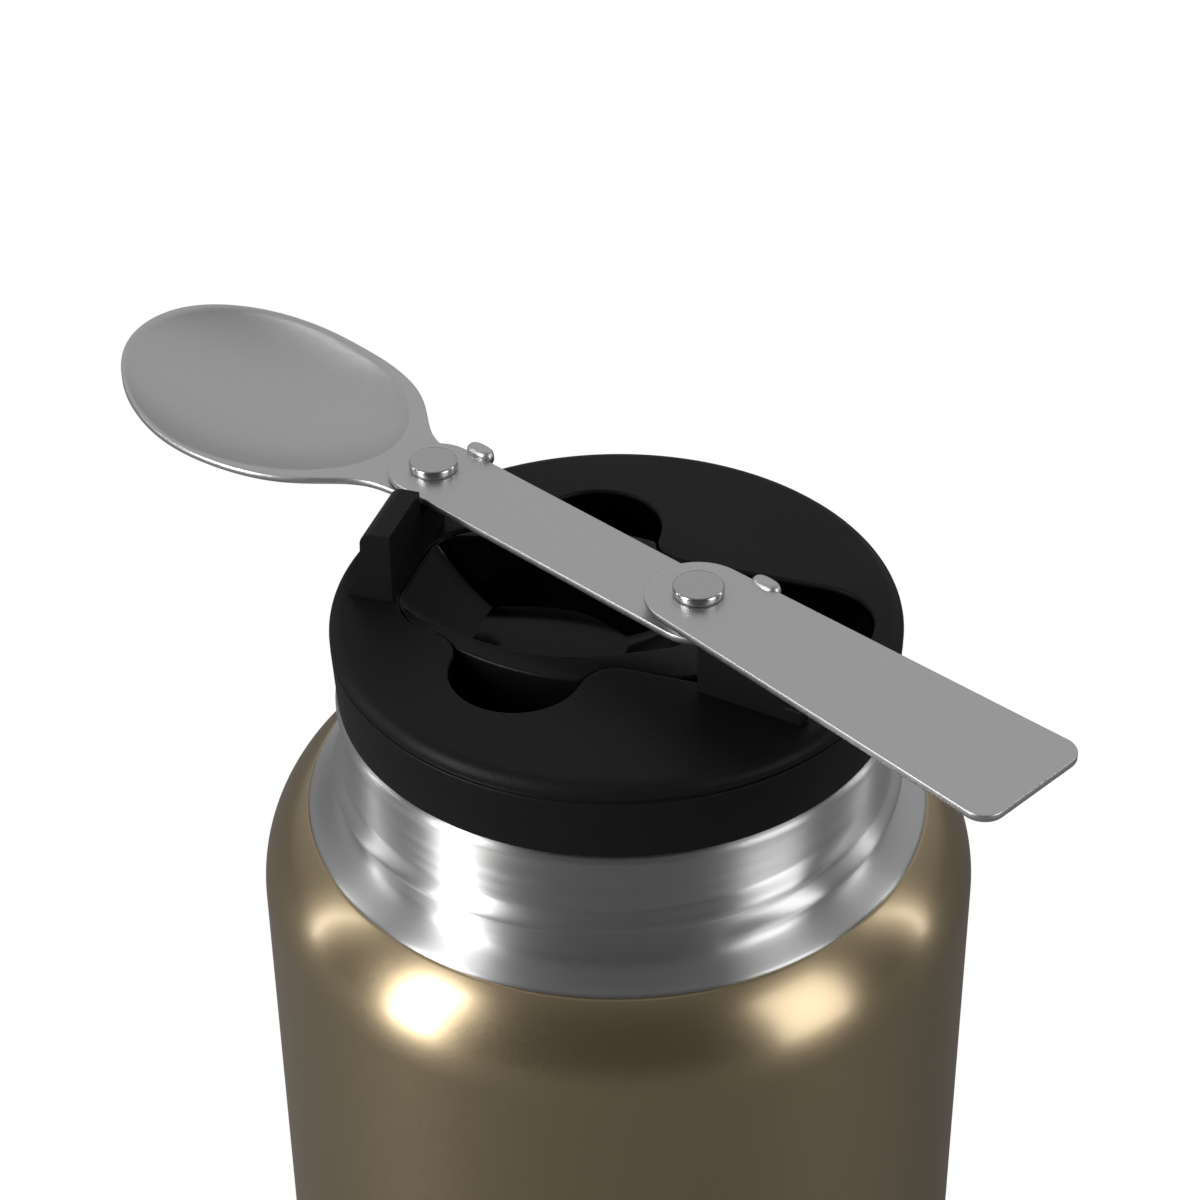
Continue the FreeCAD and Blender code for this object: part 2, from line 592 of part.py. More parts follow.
def quarter_round(start, end):
    """A quarter round in an upright plane, from a corner's side to its top."""
    middle = FreeCAD.Vector(end.x + (start.x - end.x) * math.sin(math.pi / 4), start.y,
                            start.z + (end.z - start.z) * math.sin(math.pi / 4))
    return Part.Arc(start, middle, end).toShape()


def rest_node(turn):
    """The upright rest at the front that carries the link's end, with a low step beyond it."""
    angle = math.radians(size.rest_turn.number)
    along = FreeCAD.Vector(-math.cos(angle), -math.sin(angle), 0)
    across = FreeCAD.Vector(-along.y, along.x, 0)
    start = FreeCAD.Vector(-size.rest_start.number, size.rest_across.number, 0)

    def strip(length):
        """A strip of the wall's plan from the rest's left end."""
        corners = [start, start + along * length, start + along * length + across * size.rest_wall.number,
                   start + across * size.rest_wall.number]
        return Part.Face(Part.makePolygon(corners + [start]))

    wall = raised("rest_wall", strip(size.rest_length.number), link_foot - lid_top, lid_top, turn)
    step = raised("rest_step", strip((size.rest_length + size.rest_step_length).number),
                  size.rest_step_height, lid_top, turn)
    return fuse("spoon_rest", wall, step)


def plate(name, face, thickness, x, y, z, turn):
    """A flat plate in a plate's own axes, moved to its pivot and direction."""
    item = raised(name, face, thickness, z, turn)
    return place(item, x, y, z, turn)


def stadium(length, half):
    """A strip with one round end about the pivot and one about a point along it."""
    strip = Part.makePlane(length, 2 * half, FreeCAD.Vector(0, -half, 0))
    ends = [Part.Face(Part.Wire(Part.makeCircle(half, FreeCAD.Vector(along, 0, 0)))) for along in (0, length)]
    return Part.Face(strip.multiFuse(ends).removeSplitter().Faces[0].OuterWire)


def lug_face(along, edge):
    """The plan of a stop lug on a plate's back edge."""
    length, width = size.lug_length.number, size.lug_width.number
    low = FreeCAD.Vector(along - length / 2, edge - width / 4, 0)
    return Part.makePlane(length, width, low)


def spoon_nodes():
    """The folding spoon: bowl, link, handle, two rivets, a washer and a spacer."""
    first = (size.bowl_rivet_x, size.bowl_rivet_y)
    heading = math.radians(size.link_angle.number)
    rivet_x = first[0].number + size.link_length.number * math.cos(heading)
    rivet_y = first[1].number + size.link_length.number * math.sin(heading)
    second = (as_size(rivet_x), as_size(rivet_y))
    link_plate = plate("link_plate", stadium(size.link_length.number, size.link_half_width.number),
                       size.sheet_thickness, first[0], first[1], link_foot, size.link_angle)
    link_lug = plate("link_lug", lug_face(size.link_lug_along.number, size.link_half_width.number),
                     size.sheet_thickness + size.lug_rise, first[0], first[1], link_foot, size.link_angle)
    link_holes = [cylinder("link_hole_%d" % number, size.rivet_shank, size.sheet_thickness,
                           x=pivot[0], y=pivot[1], z=link_foot)
                  for number, pivot in enumerate((first, second), start=1)]
    spoon_link = cut("spoon_link", fuse("link_joined", link_plate, link_lug), *link_holes)
    bowl_washer = cut("bowl_washer", cylinder("washer_disc", size.washer_radius, size.washer_thickness,
                                              x=first[0], y=first[1], z=washer_foot),
                      cylinder("washer_hole", size.rivet_shank, size.washer_thickness,
                               x=first[0], y=first[1], z=washer_foot))
    handle_spacer = cut("handle_spacer",
                        cylinder("spacer_disc", size.washer_radius, size.spacer_thickness,
                                 x=second[0], y=second[1], z=link_top),
                        cylinder("spacer_hole", size.rivet_shank, size.spacer_thickness,
                                 x=second[0], y=second[1], z=link_top))
    bowl_rivet = turned("bowl_rivet", rivet_section(tail_foot, link_top, size.rivet_tail,
                                                    tang_foot - size.turn_gap))
    place(bowl_rivet, first[0], first[1])
    handle_rivet = turned("handle_rivet", rivet_section(link_foot, handle_top + size.turn_gap))
    place(handle_rivet, second[0], second[1])
    return [spoon_link, bowl_washer, handle_spacer, bowl_rivet, handle_rivet,
            bowl_node(first), handle_node(second)]


def rivet_section(foot, head_foot, tail=None, tail_top=None):
    """A rivet's section from its foot to its head, with a wider tail where one is given."""
    head_top = head_foot + size.rivet_head_height
    corner = size.rivet_head_round
    low = [(0.0, foot), (size.rivet_shank, foot)]
    if tail is not None:
        low = [(0.0, foot), (tail, foot), (tail, tail_top), (size.rivet_shank, tail_top)]
    return low + [(size.rivet_shank, head_foot), (size.rivet_head, head_foot),
                  (size.rivet_head, head_top - corner, corner), (size.rivet_head - corner, head_top),
                  (0.0, head_top)]


def half_ellipsoid(name, length, width, depth, x, y, z, turn):
    """The lower half of an ellipsoid about its own centre."""
    item = doc.addObject("Part::Ellipsoid", name)
    bind(item, Radius1=depth, Radius2=length, Radius3=width, Angle1=-90.0, Angle2=0.0, Angle3=360.0)
    return place(item, x, y, z, turn)


def bowl_node(pivot):
    """The spoon's bowl with the tang that turns on the bowl's rivet."""
    heading = math.radians(size.bowl_angle.number)
    middle = size.bowl_reach - size.bowl_half_length
    centre = [as_size(pivot[0].number + middle.number * math.cos(heading)),
              as_size(pivot[1].number + middle.number * math.sin(heading))]
    wall = size.sheet_thickness
    outside = half_ellipsoid("bowl_outside", size.bowl_half_length, size.bowl_half_width, size.bowl_depth,
                             centre[0], centre[1], tang_top, size.bowl_angle)
    inside = half_ellipsoid("bowl_inside", size.bowl_half_length - wall, size.bowl_half_width - wall,
                            size.bowl_depth - wall, centre[0], centre[1], tang_top, size.bowl_angle)
    straight, flare = size.tang_length.number, size.tang_flare_length.number
    half, wide = size.tang_half_width.number, size.tang_flare.number
    corners = [(0, -half), (straight, -half), (straight + flare, -wide), (straight + flare, wide),
               (straight, half), (0, half), (0, -half)]
    neck = Part.Face(Part.makePolygon([FreeCAD.Vector(row[0], row[1], 0) for row in corners]))
    round_end = Part.Face(Part.Wire(Part.makeCircle(half)))
    outline = Part.Face(neck.fuse(round_end).removeSplitter().Faces[0].OuterWire)
    tang = plate("tang", outline, wall, pivot[0], pivot[1], tang_foot, size.bowl_angle)
    hole = cylinder("tang_hole", size.rivet_shank + size.bore_play, wall, x=pivot[0], y=pivot[1], z=tang_foot)
    return cut("spoon_bowl", fuse("bowl_joined", outside, tang), inside, hole)


def handle_node(pivot):
    """The handle plate that turns on the handle's rivet."""
    reach, corner = size.handle_reach.number, size.handle_corner.number
    start, end = size.handle_start_half_width.number, size.handle_end_half_width.number
    corners = [(0, -start), (reach, -end), (reach, end), (0, start), (0, -start)]
    blade = Part.Face(Part.makePolygon([FreeCAD.Vector(row[0], row[1], 0) for row in corners]))
    blade = blade.makeOffset2D(-corner).makeOffset2D(corner).Faces[0]
    round_end = Part.Face(Part.Wire(Part.makeCircle(start)))
    filler = Part.makePlane(corner * 2, 2 * start, FreeCAD.Vector(0, -start, 0))
    outline = Part.Face(blade.multiFuse([round_end, filler]).removeSplitter().Faces[0].OuterWire)
    handle_plate = plate("handle_plate", outline, size.sheet_thickness, pivot[0], pivot[1], handle_foot,
                         size.handle_angle)
    lug = plate("handle_lug", lug_face(size.handle_lug_along.number, start),
                size.sheet_thickness + size.lug_drop, pivot[0], pivot[1], handle_foot - size.lug_drop,
                size.handle_angle)
    hole = cylinder("handle_hole", size.rivet_shank + size.bore_play, size.sheet_thickness,
                    x=pivot[0], y=pivot[1], z=handle_foot)
    return cut("spoon_handle", fuse("handle_joined", handle_plate, lug), hole)


def write_nodes(nodes):
    """Check every object and write one file for each node."""
    doc.recompute()
    failed = [item.Name for item in doc.Objects if "Invalid" in item.State or "Error" in item.State]
    if failed:
        raise RuntimeError("objects failed: %s" % ", ".join(failed))
    os.makedirs("parts", exist_ok=True)
    for node in nodes:
        shape = node.Shape
        if shape.isNull() or not shape.isValid() or not shape.Solids:
            raise RuntimeError("bad shape: %s" % node.Name)
        node.Label = node.Name
        shape.exportStep(os.path.join("parts", node.Name + ".step"))
        print(node.Name, len(shape.Solids), "solid(s)", round(shape.Volume, 1), "mm3")


write_nodes(jar_nodes() + stopper_nodes() + spoon_nodes())
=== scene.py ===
"""Insulated food jar with a folding spoon on its stopper, dressed for the studio."""

import logging
import math
from dataclasses import dataclass, field
from enum import Enum
from typing import Iterable, Sequence

import bmesh
import bpy
from mathutils import Matrix, Vector

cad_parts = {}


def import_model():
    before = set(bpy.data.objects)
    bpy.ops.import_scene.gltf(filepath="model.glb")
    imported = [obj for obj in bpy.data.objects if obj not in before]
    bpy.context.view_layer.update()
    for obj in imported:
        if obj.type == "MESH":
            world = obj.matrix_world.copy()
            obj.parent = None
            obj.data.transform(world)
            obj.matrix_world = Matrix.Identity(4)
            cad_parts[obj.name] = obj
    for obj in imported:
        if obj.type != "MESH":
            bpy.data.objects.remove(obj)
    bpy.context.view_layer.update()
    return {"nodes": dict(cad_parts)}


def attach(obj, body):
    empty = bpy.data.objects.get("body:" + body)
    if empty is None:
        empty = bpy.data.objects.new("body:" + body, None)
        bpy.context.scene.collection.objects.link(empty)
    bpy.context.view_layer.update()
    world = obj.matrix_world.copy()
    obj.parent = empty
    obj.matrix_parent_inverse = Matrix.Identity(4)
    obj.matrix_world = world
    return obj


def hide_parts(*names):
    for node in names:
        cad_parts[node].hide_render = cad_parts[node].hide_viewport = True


LOG = logging.getLogger("food_jar")
MM = 0.001
Point = tuple[float, float]
Loop = list[tuple[float, float, float]]
BUMP_DEPTH = 0.0002
COAT_ROUGHNESS = 0.12


class Edge(Enum):
    """How the shading treats a piece's faces."""

    SMOOTH = "smooth"
    CRISP = "crisp"


class Sheen(Enum):
    """The pattern that a finish carries."""

    TURNED = "turned"
    SATIN = "satin"
    PAINTED = "painted"
    MATTE = "matte"
    POLISHED = "polished"


# Scale and detail of the noise in the shade, and of the noise in the bump.
NOISES = {
    Sheen.SATIN: ((900.0, 5.0), (2600.0, 2.0)),
    Sheen.PAINTED: ((2200.0, 2.0), (1300.0, 3.0)),
    Sheen.MATTE: ((45.0, 4.0), (1900.0, 3.0)),
    Sheen.POLISHED: ((30.0, 2.0), (160.0, 2.0)),
}


class Value:
    """A shader socket, or a plain number, that takes part in sums."""

    def __init__(self, graph: "Tree", source: object) -> None:
        """Keep the graph and the socket or number."""
        self.graph = graph
        self.source = source

    def _math(self, operation: str, *others: object) -> "Value":
        """Add one Math node that works on this value and the others."""
        return self.graph.node("ShaderNodeMath", {"operation": operation}, dict(enumerate((self, *others))))

    def __add__(self, other: object) -> "Value":
        """This value and another together."""
        return self._math("ADD", other)

    def __radd__(self, other: object) -> "Value":
        """Another value and this one together."""
        return self._math("ADD", other)

    def __sub__(self, other: object) -> "Value":
        """This value less another."""
        return self._math("SUBTRACT", other)

    def __rsub__(self, other: object) -> "Value":
        """Another value less this one."""
        return Value(self.graph, other)._math("SUBTRACT", self)

    def __mul__(self, other: object) -> "Value":
        """This value times another."""
        return self._math("MULTIPLY", other)

    def __rmul__(self, other: object) -> "Value":
        """Another value times this one."""
        return self._math("MULTIPLY", other)

    def clamp(self, low: float, high: float) -> "Value":
        """This value held between two limits.

        Args:
            low: the lower limit.
            high: the upper limit.

        Returns:
            The held value.
        """
        return self._math("MAXIMUM", low)._math("MINIMUM", high)


class Tree:
    """A node tree whose nodes all come from one method."""

    def __init__(self, tree: bpy.types.NodeTree) -> None:
        """Keep the tree."""
        self.tree = tree

    def node(self, kind: str, settings: dict | None = None, inputs: dict | None = None,
             output: int | str = 0) -> Value:
        """Add a node.

        Args:
            kind: the node's type.
            settings: properties that are set before its sockets.
            inputs: values or links for its sockets, by index or name.
            output: the output to return.

        Returns:
            The output as a value.
        """
        item = self.tree.nodes.new(kind)
        for name, setting in (settings or {}).items():
            setattr(item, name, setting)
        for name, given in (inputs or {}).items():
            given = getattr(given, "source", given)
            if isinstance(given, bpy.types.NodeSocket):
                self.tree.links.new(given, item.inputs[name])
            else:
                item.inputs[name].default_value = given
        return Value(self, item.outputs[output] if len(item.outputs) else item)

    def vector(self, x: object, y: object, z: object) -> Value:
        """Three values as a vector."""
        return self.node("ShaderNodeCombineXYZ", {}, {0: x, 1: y, 2: z})


class Graph(Tree):
    """A material's or the world's node tree, cleared and ready to build."""

    def __init__(self, owner: bpy.types.ID) -> None:
        """Clear the owner's tree.

        Args:
            owner: the material or world that holds the tree.
        """
        owner.use_nodes = True
        owner.node_tree.nodes.clear()
        super().__init__(owner.node_tree)

    def axes(self, kind: str = "Object") -> tuple[Value, Value, Value]:
        """Read the coordinates.

        Args:
            kind: which coordinates, as the node names them.

        Returns:
            The three values.
        """
        place = self.node("ShaderNodeTexCoord", output=kind)
        split = self.tree.nodes.new("ShaderNodeSeparateXYZ")
        self.tree.links.new(place.source, split.inputs[0])
        return tuple(Value(self, split.outputs[number]) for number in range(3))

    def noise(self, place: Value, scale: float, detail: float = 3.0) -> Value:
        """A noise pattern at a place.

        Args:
            place: the vector to read it at.
            scale: how fine it is.
            detail: how many finer layers it has.

        Returns:
            The noise, from 0 to 1.
        """
        return self.node("ShaderNodeTexNoise", {}, {"Vector": place, "Scale": scale, "Detail": detail})


class Growth(Tree):
    """A Geometry Nodes tree with named inputs, whose result is kept as a plain mesh."""

    def __init__(self, name: str, inputs: Sequence[tuple[str, str, object]]) -> None:
        """Start the tree.

        Args:
            name: the name of the tree and of the piece that it makes.
            inputs: name, kind of socket and value of each input.
        """
        super().__init__(bpy.data.node_groups.new(name, "GeometryNodeTree"))
        self.name = name
        self._socket("Geometry", "INPUT", "Geometry")
        self.values = {self._socket(label, "INPUT", kind): value for label, kind, value in inputs}
        self._socket("Geometry", "OUTPUT", "Geometry")
        outputs = self.tree.nodes.new("NodeGroupInput").outputs
        self.given = {label: Value(self, outputs[label]) for label, _, _ in inputs}

    def _socket(self, label: str, side: str, kind: str) -> str:
        """Add a socket to the tree's interface and return its identifier."""
        interface = self.tree.interface
        return interface.new_socket(label, in_out=side, socket_type="NodeSocket" + kind).identifier

    def piece(self, copies: Value) -> bpy.types.Object:
        """Paint what the tree has laid, run the tree and keep its result.

        Args:
            copies: the instances that the tree has laid.

        Returns:
            The piece as one mesh object.
        """
        real = self.node("GeometryNodeRealizeInstances", {}, {0: copies})
        paint = self.node("GeometryNodeSetMaterial", {}, {"Geometry": real, "Material": self.given["Finish"]})
        self.node("NodeGroupOutput", {}, {0: paint})
        seed = bpy.data.objects.new(self.name + "_seed", bpy.data.meshes.new(self.name + "_seed"))
        bpy.context.scene.collection.objects.link(seed)
        modifier = seed.modifiers.new("nodes", "NODES")
        modifier.node_group = self.tree
        for identifier, value in self.values.items():
            modifier[identifier] = value
        seed.update_tag()
        bpy.context.view_layer.update()
        graph = bpy.context.evaluated_depsgraph_get()
        mesh = bpy.data.meshes.new_from_object(seed.evaluated_get(graph), depsgraph=graph)
        mesh.name = self.name
        bpy.data.objects.remove(seed)
        item = bpy.data.objects.new(self.name, mesh)
        bpy.context.scene.collection.objects.link(item)
        return item


@dataclass(frozen=True)
class Finish:
    """One surface finish and the pattern that goes with it."""

    name: str
    color: tuple[float, float, float]
    sheen: Sheen
    metallic: float = 0.0
    roughness: float = 0.4
    grain: float = 0.05
    variation: float = 0.04
    coat: float = 0.0
    specular: float = 0.5
    brushed: float = 0.0

    def material(self) -> bpy.types.Material:
        """Build the finish.

        Returns:
            A material that reads only object coordinates.
        """
        material = bpy.data.materials.new(self.name)
        graph = Graph(material)
        x, y, z = graph.axes()
        if self.sheen is Sheen.TURNED:
            pattern, fine = self._turned(graph, x, y, z)
        else:
            place = graph.vector(x, y, z)
            pattern, fine = (graph.noise(place, scale, detail) for scale, detail in NOISES[self.sheen])
        shade = (pattern - 0.5) * self.variation * 2 + 1.0
        tint = graph.node("ShaderNodeVectorMath", {"operation": "SCALE"},
                          {0: self.color, "Scale": shade})
        rough = ((pattern - 0.5) * self.variation * 3 + self.roughness).clamp(0.03, 1.0)
        bump = graph.node("ShaderNodeBump", {}, {
            "Strength": self.grain, "Distance": BUMP_DEPTH, "Height": fine})
        shader = graph.node("ShaderNodeBsdfPrincipled", {}, {
            "Base Color": tint, "Roughness": rough, "Metallic": self.metallic, "Normal": bump,
            "Coat Weight": self.coat, "Coat Roughness": COAT_ROUGHNESS, "Specular IOR Level": self.specular,
            "Anisotropic": self.brushed, "Anisotropic Rotation": 0.25})
        graph.node("ShaderNodeOutputMaterial", {}, {"Surface": shader})
        return material

    @staticmethod
    def _turned(graph: Graph, x: Value, y: Value, z: Value) -> tuple[Value, Value]:
        """Fine rings round the jar's axis, as a lathe or a brush leaves them.

        Args:
            graph: the material's graph.
            x: the first coordinate.
            y: the second coordinate.
            z: the height.

        Returns:
            The pattern of the shade and that of the bump.
        """
        coarse = graph.noise(graph.vector(x * 9.0, y * 9.0, z * 900.0), 1.0, 4.0)
        fine = graph.noise(graph.vector(x * 22.0, y * 22.0, z * 5200.0), 1.0, 3.0)
        return coarse, fine


GOLD_PAINT = Finish("champagne_paint", (0.40, 0.315, 0.195), Sheen.PAINTED, metallic=0.92, roughness=0.3,
                    grain=0.015, variation=0.03, coat=0.3, brushed=0.6)
TURNED_STEEL = Finish("turned_steel", (0.60, 0.60, 0.60), Sheen.TURNED, metallic=1.0, roughness=0.42,
                      grain=0.12, variation=0.07, brushed=0.97)
SATIN_STEEL = Finish("satin_steel", (0.56, 0.56, 0.562), Sheen.SATIN, metallic=1.0, grain=0.06,
                     variation=0.035)
RIVET_STEEL = Finish("rivet_steel", (0.50, 0.50, 0.50), Sheen.SATIN, metallic=1.0, roughness=0.22)
MATTE_BLACK = Finish("matte_black", (0.0075, 0.0075, 0.0085), Sheen.MATTE, roughness=0.45, grain=0.22,
                     variation=0.12, specular=0.12)
SOFT_BLACK = Finish("soft_black", (0.006, 0.006, 0.0065), Sheen.MATTE, roughness=0.36, grain=0.15,
                    variation=0.1, specular=0.14)
GLOSS_BLACK = Finish("gloss_black", (0.0012, 0.0012, 0.0012), Sheen.POLISHED, roughness=0.12, grain=0.02,
                     variation=0.05, specular=0.12)
SILICONE = Finish("clear_silicone", (0.55, 0.55, 0.53), Sheen.MATTE, roughness=0.5, grain=0.1, variation=0.06)
FOAM = Finish("closed_cell_foam", (0.78, 0.74, 0.62), Sheen.MATTE, roughness=0.9, grain=0.6, variation=0.1)


@dataclass
class Shape:
    """A mesh in millimetres, built from loops of points."""

    name: str
    mesh: bmesh.types.BMesh = field(default_factory=bmesh.new)

    def loop(self, points: Iterable[tuple[float, float, float]]) -> list[bmesh.types.BMVert]:
        """Add a closed loop's vertices.

        Args:
            points: the loop's points in millimetres.

        Returns:
            The new vertices.
        """
        return [self.mesh.verts.new((x * MM, y * MM, z * MM)) for x, y, z in points]

    def bridge(self, first: list, second: list) -> None:
        """Join two loops of equal length with a band of faces.

        Args:
            first: the vertices of one loop.
            second: the vertices of the other.
        """
        count = len(first)
        for number in range(count):
            after = (number + 1) % count
            self.mesh.faces.new((first[number], first[after], second[after], second[number]))

    def stack(self, loops: Sequence[Loop]) -> list[list]:
        """Join loops one after another.

        Args:
            loops: the loops, from one end to the other.

        Returns:
            The vertices of each loop.
        """
        rows = [self.loop(points) for points in loops]
        for first, second in zip(rows, rows[1:]):
            self.bridge(first, second)
        return rows

    def fill(self, *rows: list) -> None:
        """Fill the flat region that one or more loops bound.

        Args:
            rows: the vertices of each loop.
        """
        edges = [self.mesh.edges.get((row[number], row[(number + 1) % len(row)]))
                 or self.mesh.edges.new((row[number], row[(number + 1) % len(row)]))
                 for row in rows for number in range(len(row))]
        bmesh.ops.triangle_fill(self.mesh, use_beauty=True, use_dissolve=False, edges=edges)

    def solid(self, loops: Sequence[Loop]) -> None:
        """Join loops one after another and fill both ends.

        Args:
            loops: the loops, from one end to the other.
        """
        rows = self.stack(loops)
        self.fill(rows[0])
        self.fill(rows[-1])

    def pierced(self, outer: Sequence[Loop], inner: Sequence[Loop]) -> None:
        """Build a plate with an opening in it.

        Args:
            outer: the loops of its outer wall, upwards.
            inner: the loops of the opening's wall, downwards.
        """
        rim, mouth = self.stack(outer), self.stack(inner)
        self.fill(rim[-1], mouth[0])
        self.fill(rim[0], mouth[-1])

    def finish(self, finish: bpy.types.Material, edge: Edge = Edge.SMOOTH,
               bevel: float = 0.0) -> bpy.types.Object:
        """Turn the mesh into an object.

        Args:
            finish: its material.
            edge: how its faces are shaded.
            bevel: the width in millimetres of a bevel along its sharp edges.

        Returns:
            The new object.
        """
        bmesh.ops.remove_doubles(self.mesh, verts=self.mesh.verts[:], dist=0.001 * MM)
        bmesh.ops.recalc_face_normals(self.mesh, faces=self.mesh.faces[:])
        data = bpy.data.meshes.new(self.name)
        self.mesh.to_mesh(data)
        self.mesh.free()
        item = bpy.data.objects.new(self.name, data)
        bpy.context.scene.collection.objects.link(item)
        data.materials.append(finish)
        for face in data.polygons:
            face.use_smooth = True
        if bevel:
            rounding = item.modifiers.new("edge", "BEVEL")
            rounding.width = bevel * MM
            rounding.segments = 3
            rounding.limit_method = "ANGLE"
            rounding.angle_limit = math.radians(32)
        if edge is Edge.CRISP:
            item.modifiers.new("weights", "WEIGHTED_NORMAL").keep_sharp = True
        return item


def arc(center: Point, radius: float, start: float, end: float, steps: int) -> list[Point]:
    """Points along a round.

    Args:
        center: the round's centre.
        radius: its radius.
        start: the first angle in degrees.
        end: the last angle in degrees.
        steps: how many stretches it has.

    Returns:
        The points, both ends included.
    """
    points = []
    for number in range(steps + 1):
        angle = math.radians(start + (end - start) * number / steps)
        points.append((center[0] + radius * math.cos(angle), center[1] + radius * math.sin(angle)))
    return points


def ring(radius: float, height: float, count: int = 256) -> Loop:
    """A level circle of points about the jar's axis."""
    return [(radius * math.cos(2 * math.pi * number / count), radius * math.sin(2 * math.pi * number / count),
             height) for number in range(count)]


def lathe(name: str, section: Sequence[Point], closed: bool = True, count: int = 256) -> Shape:
    """A shape turned about the jar's axis.

    Args:
        name: the piece's name.
        section: its radius and height at each corner; a radius of 0 closes it with a flat fan.
        closed: whether the last corner joins the first.
        count: how many stretches it has round the axis.

    Returns:
        The shape.
    """
    shape = Shape(name)
    rows = [shape.loop(ring(radius, height, count)) if radius > 0 else None for radius, height in section]
    pairs = list(zip(range(len(section)), range(1, len(section))))
    if closed:
        pairs.append((len(section) - 1, 0))
    for first, second in pairs:
        if rows[first] is not None and rows[second] is not None:
            shape.bridge(rows[first], rows[second])
        elif rows[first] is not None or rows[second] is not None:
            row = rows[first] if rows[first] is not None else rows[second]
            height = section[second][1] if rows[second] is None else section[first][1]
            tip = shape.mesh.verts.new((0, 0, height * MM))
            for number in range(count):
                shape.mesh.faces.new((row[number], row[(number + 1) % count], tip))
    return shape


def resample(points: Sequence[Point], count: int) -> list[Point]:
    """Spread points evenly along a closed outline.

    Args:
        points: the outline's corners.
        count: how many points to return.

    Returns:
        The evenly spaced outline.
    """
    closed = [Vector(point) for point in points] + [Vector(points[0])]
    lengths = [0.0]
    for first, second in zip(closed, closed[1:]):
        lengths.append(lengths[-1] + (second - first).length)
    spaced, piece = [], 0
    for number in range(count):
        target = lengths[-1] * number / count
        while lengths[piece + 1] < target:
            piece += 1
        span = lengths[piece + 1] - lengths[piece]
        share = (target - lengths[piece]) / span if span else 0.0
        spot = closed[piece].lerp(closed[piece + 1], share)
        spaced.append((spot.x, spot.y))
    return spaced


def smooth(points: Sequence[Point], rounds: int) -> list[Point]:
    """Round an outline's corners by averaging each point with its neighbours.

    Args:
        points: the closed outline.
        rounds: how often it is averaged.

    Returns:
        The rounded outline.
    """
    spots = list(points)
    for _ in range(rounds):
        spots = [((spots[number - 1][0] + 2 * spots[number][0] + spots[(number + 1) % len(spots)][0]) / 4,
                  (spots[number - 1][1] + 2 * spots[number][1] + spots[(number + 1) % len(spots)][1]) / 4)
                 for number in range(len(spots))]
    return spots


def grow(points: Sequence[Point], margin: float) -> list[Point]:
    """Move a counter-clockwise outline outwards by a margin, or inwards by a negative one.

    Args:
        points: the closed outline.
        margin: how far to move it.

    Returns:
        The moved outline.
    """
    moved = []
    for number, point in enumerate(points):
        before, after = points[number - 1], points[(number + 1) % len(points)]
        along = Vector((after[0] - before[0], after[1] - before[1]))
        along.normalize()
        moved.append((point[0] + along.y * margin, point[1] - along.x * margin))
    return moved


def level(points: Sequence[Point], height: float) -> Loop:
    """An outline at a height."""
    return [(x, y, height) for x, y in points]


def turned_outline(points: Sequence[Point], degrees: float, origin: Point = (0.0, 0.0)) -> list[Point]:
    """Turn an outline about +Z and move it to a point."""
    cosine, sine = math.cos(math.radians(degrees)), math.sin(math.radians(degrees))
    return [(origin[0] + x * cosine - y * sine, origin[1] + x * sine + y * cosine) for x, y in points]


def prism(name: str, outline: Sequence[Point], low: float, high: float, edge: float) -> Shape:
    """A plate with rounded rims.

    Args:
        name: the piece's name.
        outline: its counter-clockwise plan.
        low: its underside.
        high: its top.
        edge: the round along both rims.

    Returns:
        The shape.
    """
    shape = Shape(name)
    half = edge * (1 - math.sqrt(0.5))
    shape.solid([level(grow(outline, -edge), low), level(grow(outline, -half), low + half),
                 level(outline, low + edge), level(outline, high - edge),
                 level(grow(outline, -half), high - half), level(grow(outline, -edge), high)])
    return shape


def dress(item: bpy.types.Object, body: str, slot: str, *nodes: str) -> bpy.types.Object:
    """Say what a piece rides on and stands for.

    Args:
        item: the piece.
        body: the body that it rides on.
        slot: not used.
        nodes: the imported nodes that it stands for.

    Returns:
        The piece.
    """
    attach(item, body)
    if nodes:
        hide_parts(*nodes)
    LOG.info("%s rides on %s", item.name, body)
    return item


